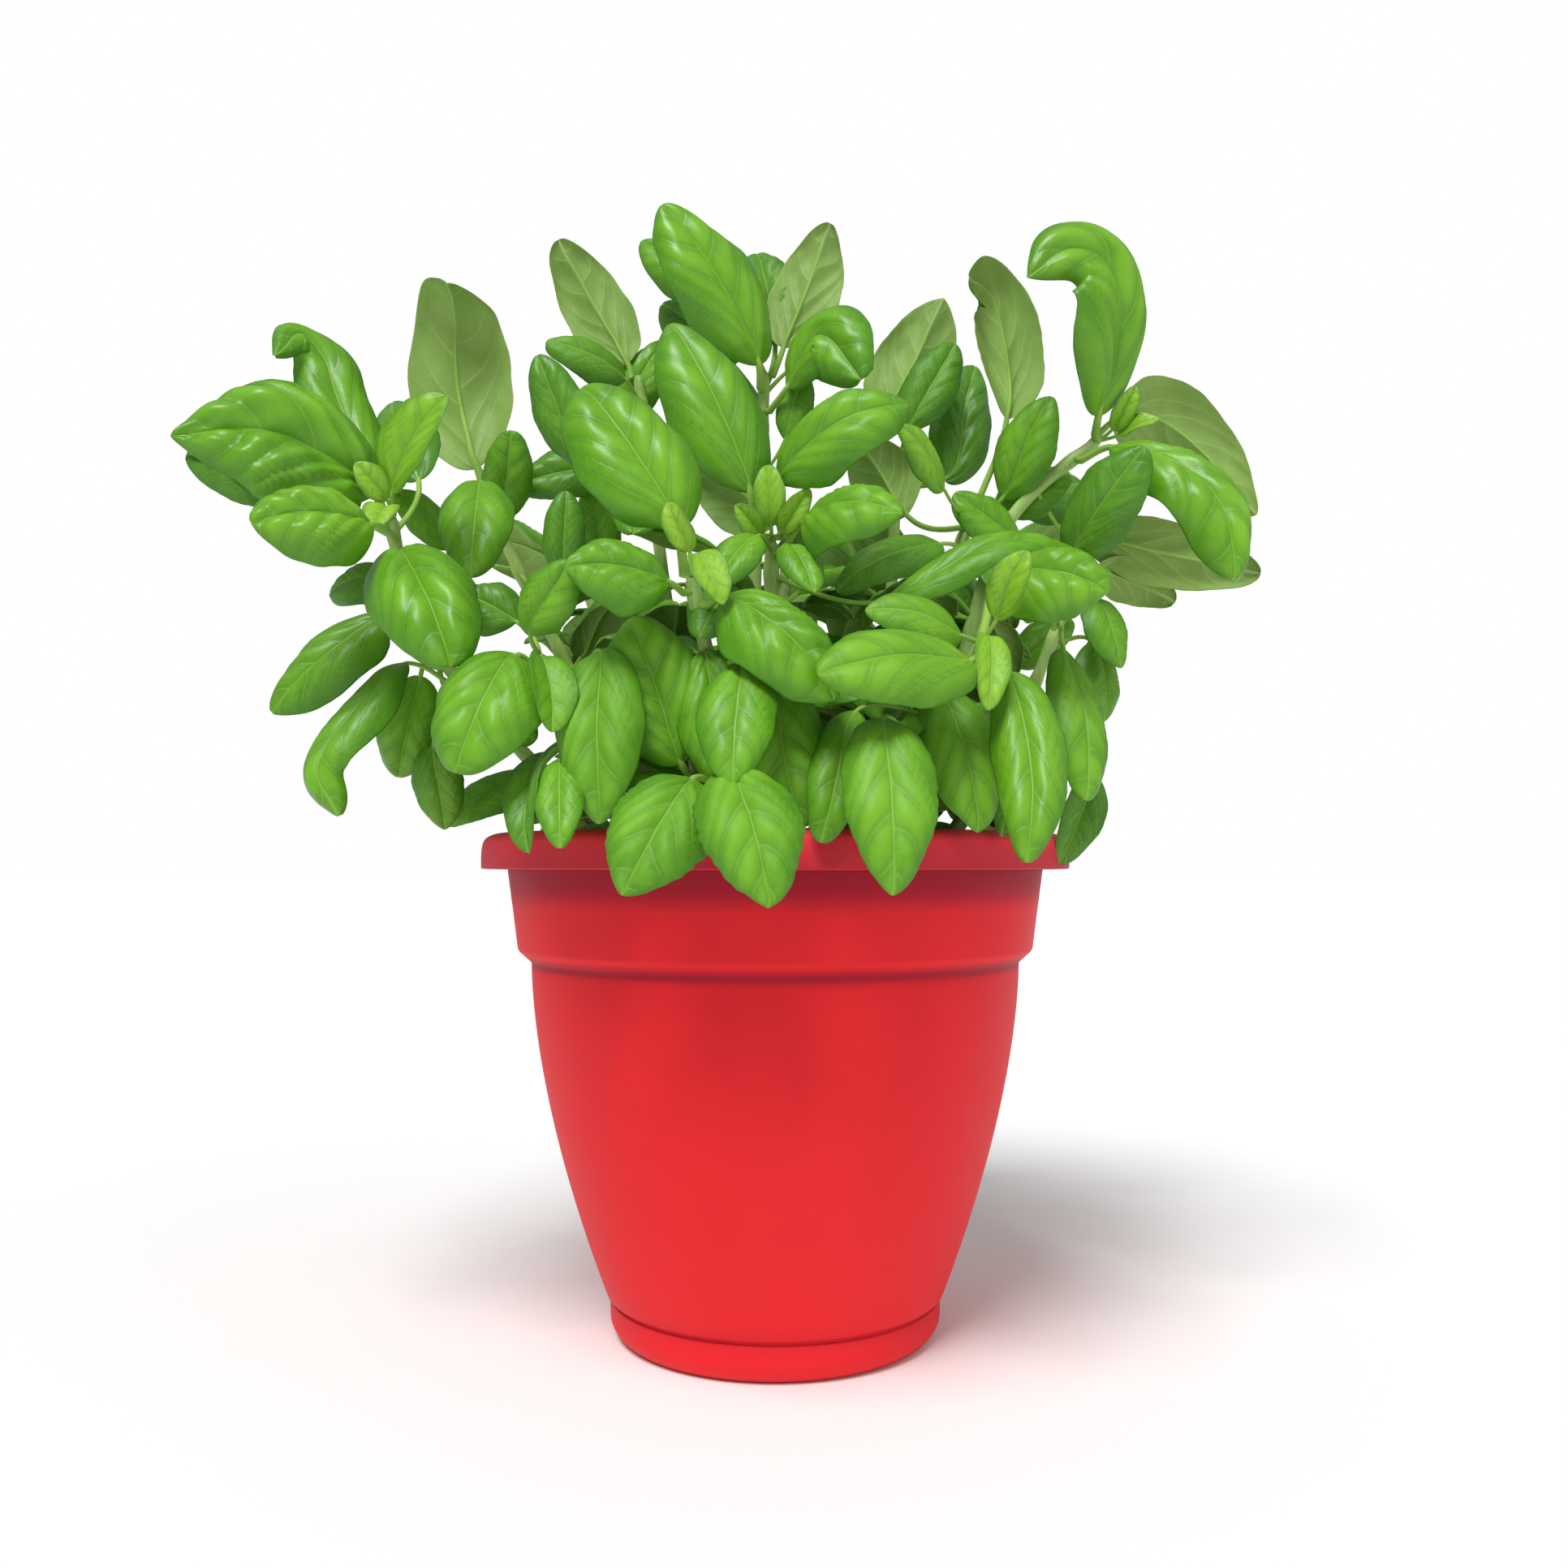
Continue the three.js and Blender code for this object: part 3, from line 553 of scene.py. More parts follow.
    rings = np.concatenate([top, bottom[:, ::-1]], axis=1)
    start, _, _ = leaf_line(leaf, np.array([foot]))
    finish, end_up, _ = leaf_line(leaf, np.array([1.0]))
    finish = finish - end_up * traits["droop"] * blade_length
    body = np.concatenate([start, rings.reshape(-1, 3), finish])

    def spread(upper, lower, at_poles):
        """A value for each point: its grid on the upper side, on the lower side, and one number at both
        poles."""
        shape = (rows, columns)
        grid = np.concatenate([np.broadcast_to(upper, shape), np.broadcast_to(lower, shape)[:, ::-1]], axis=1)
        return np.concatenate([[at_poles], grid.ravel(), [at_poles]])

    values = {
        "under": spread(0.0, 1.0, 0.5),
        "vein": spread(number, number, 0.5),
        "steep": spread(steepness, steepness, 0.2),
        "swell": spread(swell * inside, swell * inside, 0.5),
        "gloss": np.full(len(body), traits["gloss"]),
        "midrib": spread(np.abs(reach) / MM, np.abs(reach) / MM, 0.0),
        "across": spread(away, away, 0.0),
        "stalk": np.zeros(len(body)),
        "tone": np.full(len(body), traits["tone"]),
    }
    return body, ring_faces(rows, 2 * columns), values


def round_body(line, up, side, across, high, columns):
    """A body along a line whose section is an ellipse: across cos(a) to the side and high sin(a) up."""
    angle = 2 * np.pi * np.arange(columns) / columns
    ring = line[:, None] + (across[:, None] * np.cos(angle))[..., None] * side[:, None]
    ring = ring + (high[:, None] * np.sin(angle))[..., None] * up[:, None]
    return np.concatenate([line[:1], ring.reshape(-1, 3), line[-1:]]), ring_faces(len(line), columns)


STALK_COLUMNS = 10
STALK_RADIUS = 1.15 * MM
MIDRIB_END = 0.86  # share of the blade where the midrib has thinned to nothing


def stalk_body(leaf, traits):
    """The stalk, from inside the stem to the blade, and on under the blade as its midrib, thinning in
    proportion to the way left. Under the blade its axis is lower than the blade by most of its radius, so
    it shows below only."""
    foot = leaf["foot"]
    _, length = lengths_along(leaf["line"])
    end = foot + (1 - foot) * MIDRIB_END
    rows = int(np.clip(length * end / (1.6 * MM), 16, 60))
    at = np.linspace(0, end, rows)
    points, up, side = leaf_line(leaf, at)
    blade = np.clip((at - foot) / (1 - foot), 0, 1)
    size = np.clip(leaf["width"] / (34 * MM), 0.45, 1.15) * STALK_RADIUS
    radius = size * np.where(at < foot, 1.25 - 0.25 * at / foot, 1.0 - 0.85 * (blade / MIDRIB_END) ** 0.7)
    on_blade = np.clip(blade / 0.06, 0, 1)
    points = points - up * (on_blade * (radius * 0.92))[:, None]
    droop = traits["droop"] * length * (1 - foot) * np.clip((blade - 0.72) / 0.28, 0, 1) ** 2
    points = points - up * droop[:, None]
    inward = leaf["root"] - points[0]
    if np.linalg.norm(inward) > 0.2 * MM:
        lead = np.linspace(0, 1, 4)[:-1, None]
        points = np.concatenate([leaf["root"] - inward * lead, points])
        up = np.concatenate([np.repeat(up[:1], 3, 0), up])
        side = np.concatenate([np.repeat(side[:1], 3, 0), side])
        radius = np.concatenate([np.full(3, radius[0] * 1.15), radius])
    body, faces = round_body(points, up, side, radius * 1.12, radius, STALK_COLUMNS)
    count = len(body)
    values = {
        "under": np.ones(count),
        "vein": np.full(count, 0.5),
        "steep": np.full(count, 0.2),
        "swell": np.full(count, 0.5),
        "gloss": np.full(count, traits["gloss"]),
        "midrib": np.zeros(count),
        "across": np.zeros(count),
        "stalk": np.ones(count),
        "tone": np.full(count, traits["tone"]),
    }
    return body, faces, values


def leaf_traits(number, **given):
    """What makes one leaf differ from the next: how puckered, domed, wavy and old it is, and how dark a
    painted shade makes it.
    """
    luck = np.random.default_rng(4100 + number)
    traits = {
        "pucker": luck.uniform(0.03, 0.075),
        "dome": luck.uniform(0.11, 0.21),
        "wave": luck.uniform(0.03, 0.09),
        "phase": luck.uniform(0, 1),
        "point": luck.uniform(0.44, 0.60),
        "base": luck.uniform(0.58, 0.74),
        "teeth": luck.uniform(0.0, 0.05),
        "twist": luck.uniform(-0.22, 0.22),
        "droop": luck.uniform(0.0, 0.05),
        "tone": luck.uniform(-0.25, 0.3),
        "gloss": luck.uniform(0.35, 0.85),
    }
    traits.update(given)
    return traits


grown = []  # a few points of each leaf so far, to keep later ones clear of them


def leaf_samples(leaf):
    """A few points over a leaf: along its stalk, and along and across its blade."""
    stalk_at = np.linspace(0.3, 0.9, 4) * leaf["foot"]
    stalk = leaf_line(leaf, stalk_at)[0]
    s = np.linspace(0.06, 0.96, 10)
    points, up, side = leaf_line(leaf, leaf["foot"] + (1 - leaf["foot"]) * s)
    half = (leaf["width"] / 2 * np.sin(np.pi * s**SKEW) ** 0.55)[:, None]
    v = np.array([-0.92, -0.5, 0, 0.5, 0.92])[None, :, None]
    blade = points[:, None] + v * (half * side)[:, None] + v**2 * (leaf["cup"] * half * up)[:, None]
    return np.concatenate([stalk, blade.reshape(-1, 3)])


def grow_leaf(name, leaf, traits, *nodes):
    """A whole leaf: its blade and its stalk, as one piece."""
    grown.append(leaf_samples(leaf))
    if "root" not in leaf:
        _, _, _, root = nearest_on_stems(leaf["line"][0])
        leaf["root"] = root + (leaf["line"][0] - root) * 0.25
    points, faces, values = joined([blade_body(leaf, traits), stalk_body(leaf, traits)])
    piece = make_piece(name, points, faces, LEAF, "basil_leaf", values)
    if nodes:
        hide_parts(*nodes)


# Leaves that look different from the rest: tone is -1 for the oldest and darkest, 1 for the youngest, and a
# low tone is also painted shade on leaves that sit behind others.
LOOKS = {
    "leaf_left_1": {
        "pucker": 0.1, "dome": 0.2, "tone": 0.1, "point": 0.88, "phase": 0.3, "droop": 0.0, "gloss": 0.9,
    },
    "leaf_left_2": {"tone": -0.2, "point": 0.75, "gloss": 0.8},
    "leaf_left_3": {"pucker": 0.11, "tone": 0.25, "gloss": 1.0},
    "leaf_left_4": {"tone": 0.5, "pucker": 0.04, "point": 0.5},
    "leaf_left_5": {"tone": 0.0, "pucker": 0.055, "dome": 0.22, "point": 0.42, "twist": 0.0, "gloss": 0.8},
    "leaf_left_6": {"tone": -0.35},
    "leaf_left_7": {"tone": -0.2, "point": 0.6, "pucker": 0.04},
    "leaf_left_back_1": {"tone": -0.3, "pucker": 0.025, "twist": 0.0, "point": 0.42, "wave": 0.02},
    "leaf_front_left_1": {"tone": 0.05, "point": 0.46, "base": 0.5, "gloss": 0.6},
    "leaf_front_left_2": {"tone": 0.15, "point": 0.62, "base": 0.6, "gloss": 0.2, "pucker": 0.05},
    "leaf_centre_left_1": {
        "pucker": 0.032, "dome": 0.16, "tone": 0.1, "point": 0.46, "base": 0.66, "twist": 0.0, "gloss": 0.85,
    },
    "leaf_centre_left_2": {"pucker": 0.09, "tone": 0.1, "gloss": 0.7},
    "leaf_centre_left_3": {"pucker": 0.09, "tone": 0.0, "gloss": 0.7},
    "leaf_centre_left_4": {"pucker": 0.08, "tone": 0.0, "gloss": 0.3},
    "leaf_centre_left_5": {
        "tone": -0.05, "point": 0.66, "base": 0.48, "gloss": 0.15, "teeth": 0.09, "pucker": 0.07,
    },
    "leaf_centre_left_6": {
        "tone": 0.05, "point": 0.66, "base": 0.5, "gloss": 0.15, "teeth": 0.1, "pucker": 0.07,
    },
    "leaf_centre_1": {"pucker": 0.028, "dome": 0.16, "tone": 0.05, "point": 0.5, "twist": 0.0, "gloss": 0.8},
    "leaf_top_1": {"pucker": 0.03, "dome": 0.16, "tone": 0.0, "point": 0.52, "twist": 0.0, "gloss": 1.0},
    "leaf_right_top_1": {
        "pucker": 0.05, "tone": 0.2, "point": 0.78, "base": 0.55, "twist": 0.0, "gloss": 1.0,
    },
    "leaf_right_top_2": {"pucker": 0.04, "tone": 0.0, "wave": 0.03},
    "leaf_right_top_3": {"pucker": 0.07, "tone": 0.25, "gloss": 1.0},
    "leaf_right_back_1": {"pucker": 0.04, "tone": 0.0, "gloss": 0.8},
    "leaf_front_right_1": {"tone": 0.3, "point": 0.5, "gloss": 0.4},
    "leaf_front_right_3": {"tone": 0.15, "point": 0.6, "gloss": 0.4},
    "leaf_front_right_4": {"tone": 0.15, "point": 0.68, "base": 0.5, "gloss": 0.4, "teeth": 0.06},
}

for number, node in enumerate(n for n in NODES if n.startswith("leaf_")):
    grow_leaf(node, read_leaf(node), leaf_traits(number, **LOOKS.get(node, {})), node)


# Leaves that have no CAD node of their own. Each says where its stalk leaves its stem (0 is the stem's foot,
# 1 its tip), how far from there its blade starts, how far from the blade's start its tip is, its width, the
# way that its upper side faces, how far its midrib bows out and its edges lift, and its tone, from its age
# and from painted shade where it sits behind others.
# Lengths are in millimetres.
SMALL_LEAVES = {
    "left": [
        (0.9, (-4, 9, 0), (-24, 5, -5), 20, (-0.2, -0.8, 0.5), 0.1, -0.3, -0.7),
        (0.97, (2, 21, 23), (-17, 26, 36), 24, (-0.3, -0.7, 0.5), 0.1, -0.2, -0.7),
        (1, (1, -9, 3), (-8, -7, 10), 10, (-0.2, -0.8, 0.5), 0.1, 0.3, 0.9),
        (1, (2, -12, 0), (0, -12, -10), 11, (0.1, -0.8, 0.5), 0.1, 0.3, 0.9),
    ],
    "front_left": [
        (1, (-10, 18, 13), (-20, 4, 10), 20, (-0.2, -0.8, 0.5), 0.1, -0.2, -0.7),
        (1, (-2, -4, 5), (13, -10, 20), 17, (0.2, -0.9, 0.3), 0.1, -0.2, 0.2),
        (0.97, (1, -10, 1), (5, -11, -23), 14, (0.6, -0.8, 0.2), 0.1, 0.5, 0.1),
        (0.75, (-8, -14, -7), (-2, -20, -29), 13, (-0.5, -0.8, 0.2), 0.1, 0.5, -0.6),
        (0.8, (0, -22, -14), (3, -18, -25), 14, (0, -0.95, 0.3), 0.05, -0.1, 0),
    ],
    "front_right": [
        (0.75, (-28, -18, 2), (-11, -20, -38), 17, (-0.1, -0.9, 0.35), 0.08, -0.2, 0.1),
        (1, (-6, -6, 1), (-29, -9, 6), 19, (0, -0.9, 0.5), 0.15, -0.3, 0.3),
        (1, (4, -4, 6), (8, -8, 19), 12, (-0.3, -0.9, 0.2), 0.1, 0.3, 0.85),
        (1, (1, -6, 1), (-2, -16, -23), 11, (0.2, -0.9, 0.2), 0.1, 0.3, 0.85),
    ],
    "centre": [
        (0.92, (35, -8, -10), (62, 8, 20), 20, (0, -0.6, 0.8), 0.12, -0.2, 0),
        (1, (0, -6, 3), (-1, -2, 19), 10, (0, -0.9, 0.3), 0.1, 0.4, 0.8),
        (1, (3, -6, 1), (9, -6, 12), 8, (0.3, -0.9, 0.3), 0.1, 0.4, 0.8),
        (1, (-3, -6, 0), (-8, -6, 8), 8, (-0.3, -0.9, 0.3), 0.1, 0.4, 0.8),
        (0.97, (-4, -15, 2), (-13, -15, -20), 15, (-0.2, -0.9, 0.3), 0.1, -0.2, 0.2),
        (0.95, (5, -14, 2), (8, -16, -18), 14, (0.3, -0.9, 0.3), 0.1, -0.2, 0),
    ],
    "right_mid": [
        (0.92, (-9, -28, -4), (-36, -15, -18), 20, (0, -0.8, 0.6), 0.1, -0.2, -0.5),
        (0.98, (-23, -19, -1), (-17, -8, 23), 24, (0.1, 0.9, 0.3), 0.1, 0.1, -0.1),
        (1, (-13, -33, 1), (-16, -16, 17), 14, (-0.2, -0.8, 0.6), 0.15, -0.3, 0.4),
    ],
    "right": [
        (1, (8, -5, 2), (8, -6, -24), 19, (0.4, -0.8, 0.3), 0.1, -0.3, 0.1),
        (0.88, (15, 6, 4), (4, -6, -29), 19, (0.5, -0.8, 0.3), 0.1, -0.3, -0.5),
        (0.6, (25, -6, -11), (-12, -12, -30), 15, (0.3, -0.9, 0.2), 0.1, 0.3, -0.7),
        (0.5, (2, -30, 14), (-7, -22, -36), 14, (0.1, -0.9, 0.2), 0.1, -0.2, -0.7),
    ],
    "top": [
        (1, (-14, 6, 26), (-32, 6, 29), 22, (-0.2, -0.9, 0.3), 0.1, -0.2, 0.1),
        (0.97, (4, 14, 22), (-7, 12, 42), 25, (0.1, -0.95, 0.2), 0.1, -0.2, -0.7),
        (0.94, (-11, 15, 21), (-28, 8, 27), 21, (-0.2, -0.9, 0.3), 0.1, -0.2, -0.7),
        (0.96, (12, 1, 12), (28, -4, -2), 19, (0, -0.8, 0.6), 0.15, -0.3, -0.6),
    ],
    "top_left": [
        (0.93, (-5, -12, 9), (-27, -12, 10), 20, (-0.1, -0.9, 0.5), 0.12, -0.3, -0.5),
        (0.8, (-20, -34, -1), (-16, -6, 37), 19, (-0.3, -0.9, 0.3), 0.08, -0.2, -0.5),
    ],
    "centre_left": [
        (1, (0, -6, 6), (-6, -5, 13), 8, (-0.3, -0.9, 0.3), 0.1, 0.4, 0.9),
        (1, (2, -7, 5), (8, -8, -16), 11, (0.2, -0.9, 0.3), 0.1, 0.4, 0.9),
        (0.62, (-4, -14, 21), (8, -12, -42), 24, (-0.1, -0.95, 0.3), 0.06, -0.2, 0),
        (0.72, (14, -9, 5), (12, -15, -47), 25, (0.1, -0.95, 0.3), 0.06, -0.2, 0),
        (0.75, (9, -22, 1), (-1, -23, -35), 22, (0, -0.85, 0.5), 0.06, -0.25, 0),
    ],
    "left_back": [
        (0.8, (22, -42, -11), (2, -4, 29), 14, (0.1, -0.9, 0.3), 0.05, -0.2, -0.6),
    ],
    "right_back": [
        (0.95, (17, -4, 1), (15, 16, 50), 24, (0.2, -0.9, 0.2), 0.05, -0.2, -0.7),
        (0.97, (3, -14, 13), (18, 4, 34), 19, (0.1, -0.95, 0.2), 0.08, -0.2, -0.6),
    ],
    "right_top": [
        (0.86, (27, 27, -21), (32, 14, -10), 18, (0, 0.9, 0.4), 0.05, 0.1, 0),
        (0.8, (9, 34, 9), (28, 20, 18), 25, (0.1, -0.9, 0.4), 0.1, -0.2, -0.7),
        (0.75, (2, 9, 11), (24, -4, 15), 22, (0.1, -0.85, 0.5), 0.1, -0.2, 0),
        (0.7, (9, -1, 5), (-22, -8, 18), 21, (-0.1, -0.85, 0.5), 0.1, -0.2, -0.2),
        (1, (4, -3, 3), (7, -6, 13), 8, (0.2, -0.9, 0.3), 0.1, 0.4, 0.9),
        (1, (6, -3, 1), (12, -8, 3), 8, (0.2, -0.9, 0.5), 0.1, 0.4, 0.9),
    ],
}


def carried(up, tangents, start):
    """The way up, given at one sample of a line and carried to the others with as little turning as
    possible."""
    ups = np.zeros_like(tangents)
    ups[start] = squared(up, tangents[start])[0]
    for i in range(start + 1, len(tangents)):
        ups[i] = squared(ups[i - 1], tangents[i])[0]
    for i in range(start - 1, -1, -1):
        ups[i] = squared(ups[i + 1], tangents[i])[0]
    return ups


LINE_SAMPLES = 25


def free_leaf(stem, at, reach, blade, width, faces, arch, cup):
    """A leaf that leaves a stem at a share of its length. reach goes from there to the blade's foot, blade
    from the foot to the tip, both in metres. The midrib bows towards the way that the leaf faces, by arch
    times its length."""
    root, _ = stem_point(stem, at)
    foot = root + np.array(reach)
    tip = foot + np.array(blade)
    faces = unit(np.array(faces, float))
    middle = (foot + tip) / 2 + faces * arch * np.linalg.norm(tip - foot)
    shares, _ = lengths_along(np.array([root, foot, middle, tip]))
    at_samples = np.linspace(0, 1, LINE_SAMPLES)
    line = spline(shares, [root, foot, middle, tip], at_samples)
    tangents = unit(np.gradient(line, axis=0))
    middle_sample = int((shares[1] + 1) / 2 * (LINE_SAMPLES - 1))
    ups = carried(faces, tangents, middle_sample)
    run, _ = lengths_along(line)
    foot_share = float(np.interp(shares[1], at_samples, run))
    return {"line": line, "ups": ups, "foot": foot_share, "width": width, "cup": cup, "root": root}


for stem, rows in SMALL_LEAVES.items():
    taken = len([n for n in NODES if n.rsplit("_", 1)[0] == f"leaf_{stem}"])
    for number, (at, reach, blade, width, faces, arch, cup, tone) in enumerate(rows):
        leaf = free_leaf(stem, at, np.array(reach) * MM, np.array(blade) * MM, width * MM, faces, arch, cup)
        traits = leaf_traits(100 + 10 * number + len(stem), tone=tone)
        grow_leaf(f"leaf_{stem}_{taken + number + 1}", leaf, traits)


# The inner and back leaves grow in pairs, one on each side of the stem, and each pair is turned a quarter
# from the one below. For each stem: the shares of its length where pairs are, the first pair's bearing in
# degrees, and the blade's length in millimetres at the first and the last of them.
LEAF_PAIRS = {
    "back_left": ((0.36, 0.45, 0.54, 0.63, 0.73, 0.84, 0.97), 20, 56, 36),
    "back_centre": ((0.34, 0.42, 0.5, 0.58, 0.67, 0.76, 0.86, 0.98), 70, 56, 34),
    "back_right": ((0.36, 0.45, 0.54, 0.63, 0.73, 0.84, 0.97), 35, 56, 36),
    "top_left": ((0.42, 0.52, 0.62, 0.72), 30, 46, 36),
    "top": ((0.38, 0.47, 0.56, 0.66), 60, 46, 38),
    "right_back": ((0.42, 0.53, 0.64, 0.76), 15, 46, 38),
    "right_mid": ((0.45, 0.58, 0.7, 0.82), 50, 44, 34),
    "left_back": ((0.45, 0.58, 0.7), 25, 44, 36),
    "centre": ((0.4, 0.5, 0.6, 0.7, 0.82), 40, 46, 34),
    "right_top": ((0.4, 0.5, 0.6), 65, 44, 36),
    "left": ((0.4, 0.52, 0.62, 0.74), 55, 42, 34),
    "front_left": ((0.4, 0.55, 0.7, 0.85), 30, 42, 34),
    "front_right": ((0.4, 0.55, 0.7, 0.85), 75, 42, 34),
    "centre_left": ((0.4, 0.52, 0.64, 0.78), 20, 44, 34),
    "right": ((0.4, 0.52, 0.64, 0.78, 0.9), 40, 42, 32),
}
PAIR_TRIES = 40
CLEAR = 2.2 * MM  # room that a leaf keeps between its samples and those of the others
VIEW_DEPTH = 480 * MM  # the front view is from this far in front of the plant's axis
EYE_HEIGHT = 160 * MM
HIDDEN_HALF_WIDTH = 92 * MM
HIDDEN_HEIGHT = 296 * MM
ROOM_LOW = np.array(cad_low) + 2 * MM
ROOM_HIGH = np.array(cad_high) - 2 * MM
POT_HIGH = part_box("pot")[1]
SOIL_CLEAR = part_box("soil")[1].z + 6 * MM
SOIL_RADIUS = 84 * MM


def front_view(points):
    """Where points seem to be from the front: x, and height, each smaller by 1 + y / VIEW_DEPTH at depth
    y."""
    nearer = 1 + points[:, 1] / VIEW_DEPTH
    return np.stack([points[:, 0] / nearer, EYE_HEIGHT + (points[:, 2] - EYE_HEIGHT) / nearer], -1)


def fits(samples, hidden):
    """True if a leaf stays in the CAD box, off the pot and the soil, and clear of the leaves so far. A leaf
    that is to be hidden behind others also stays within a set width and height in the front view."""
    if (samples < ROOM_LOW).any() or (samples > ROOM_HIGH).any():
        return False
    radius = np.hypot(samples[:, 0], samples[:, 1])
    by_pot = (samples[:, 2] < POT_HIGH.z + 3 * MM) & (radius < POT_HIGH.x + 4 * MM)
    on_soil = (radius < SOIL_RADIUS) & (samples[:, 2] > SOIL_CLEAR)
    if (by_pot & ~on_soil).any():
        return False
    seen = front_view(samples)
    if hidden and ((np.abs(seen[:, 0]) > HIDDEN_HALF_WIDTH).any() or (seen[:, 1] > HIDDEN_HEIGHT).any()):
        return False
    others = np.concatenate(grown)
    near = others[(np.abs(others - samples.mean(0)) < 0.06).all(1)]
    if len(near) == 0:
        return True
    return np.linalg.norm(near[:, None] - samples[None], axis=2).min() > CLEAR


def pair_leaf(stem, at, bearing, length, luck):
    """A leaf that leaves a stem on a bearing: its stalk rises a little, and its blade leans out and down,
    with its upper side up and out."""
    turn = math.radians(bearing + luck.uniform(-40, 40))
    out = np.array([math.cos(turn), math.sin(turn), 0.0])
    high = np.array([0.0, 0.0, 1.0])
    rise = math.radians(luck.uniform(5, 40))
    lean = math.radians(luck.uniform(-45, 22))
    stalk = luck.uniform(8, 17) * MM
    length = length * luck.uniform(0.82, 1.15) * MM
    reach = stalk * (out * math.cos(rise) + high * math.sin(rise))
    blade = length * (out * math.cos(lean) + high * math.sin(lean))
    faces = high * math.cos(lean) - out * math.sin(lean) + luck.uniform(-0.25, 0.25, 3)
    cup = luck.uniform(-0.4, -0.05)
    width = length * luck.uniform(0.5, 0.62)
    return free_leaf(stem, at, reach, blade, width, faces, luck.uniform(0.06, 0.16), cup)


def grow_pairs():
    """The leaf pairs of every stem. A leaf that doesn't fit is tried again on nearby bearings, then left
    out."""
    luck = np.random.default_rng(20)
    count = 0
    for stem, (shares, first, longest, shortest) in LEAF_PAIRS.items():
        for pair, at in enumerate(shares):
            length = longest + (shortest - longest) * pair / max(len(shares) - 1, 1)
            for opposite in (0, 180):
                for _ in range(PAIR_TRIES):
                    leaf = pair_leaf(stem, at, first + 90 * pair + opposite, length, luck)
                    if fits(leaf_samples(leaf), hidden=True):
                        count += 1
                        # Inner leaves get darker tones, partly for age and partly as painted shade inside the
                        # plant.
                        tone = luck.uniform(-0.6, 0.15)
                        grow_leaf(f"leaf_inner_{count}", leaf, leaf_traits(500 + count, tone=tone))
                        break


grow_pairs()


# Leaves that close the gaps between the others, so that the plant isn't see-through from the front. Lengths
# and widths are in the front view.
FILLED_STEMS = (
    "left_back", "top_left", "left", "front_left", "centre_left", "top", "centre", "right_mid", "right_back",
    "right", "back_left", "back_right",
)
FILL_TRIES = 1500  # for each stem
GAP = 5.0 * MM  # a place this far from every leaf is a gap
BAND = 8 * MM  # leaves are level with a place, or upright over it, within this
BESIDE = 45 * MM  # how near the leaves to its left and right are
ABOVE = 60 * MM  # how near the leaf above it is
FILLER_STALK = (8, 30)  # mm
FILLER_BLADE = (22, 48)  # mm
FILLER_WIDTH = 0.57  # of its blade's length
FILLER_FACES = (0, -0.85, 0.4)
FILLER_ARCH = 0.09
FILLER_CUP = -0.2


def enclosed(samples, leaves_seen):
    """True if every sample has leaves to its left, to its right and above it in the front view."""
    apart = leaves_seen[None] - front_view(samples)[:, None]
    level = np.abs(apart[..., 1]) < BAND
    upright = np.abs(apart[..., 0]) < BAND
    left = (level & (apart[..., 0] < 0) & (apart[..., 0] > -BESIDE)).any(1)
    right = (level & (apart[..., 0] > 0) & (apart[..., 0] < BESIDE)).any(1)
    above = (upright & (apart[..., 1] > 0) & (apart[..., 1] < ABOVE)).any(1)
    return (left & right & above).all()


def grow_fillers():
    """Tries leaves at random on each stem, facing the front and up, and keeps each that is in a gap and
    fits."""
    luck = np.random.default_rng(61)
    leaves_seen = front_view(np.concatenate(grown))
    count = 0
    for stem in FILLED_STEMS:
        for _ in range(FILL_TRIES):
            at, turn, bend = luck.uniform(0.3, 1.0), luck.uniform(0, 2 * np.pi), luck.uniform(-1.2, 1.2)
            stalk, length = luck.uniform(*FILLER_STALK) * MM, luck.uniform(*FILLER_BLADE) * MM
            # Filler leaves get darker tones, partly as painted shade in the gaps that they fill.
            depth, lean, tone = luck.uniform(-0.6, 0.3), luck.uniform(-0.5, 0.3), luck.uniform(-0.7, 0.15)
            root, _ = stem_point(stem, at)
            reach = stalk * unit(np.array([math.cos(turn), depth, math.sin(turn)]))
            blade = length * unit(np.array([math.cos(turn + bend), lean, math.sin(turn + bend)]))
            middle = front_view((root + reach + blade / 2)[None])
            if np.linalg.norm(leaves_seen - middle, axis=1).min() < GAP:
                continue
            faces = np.array(FILLER_FACES) + luck.uniform(-0.25, 0.25, 3)
            leaf = free_leaf(stem, at, reach, blade, FILLER_WIDTH * length, faces, FILLER_ARCH, FILLER_CUP)
            samples = leaf_samples(leaf)
            if fits(samples, hidden=False) and enclosed(samples, leaves_seen):
                count += 1
                grow_leaf(f"leaf_filler_{count}", leaf, leaf_traits(800 + count, tone=tone))
                leaves_seen = front_view(np.concatenate(grown))


grow_fillers()


# ---- Stems ----
STEM_SIDES = 20


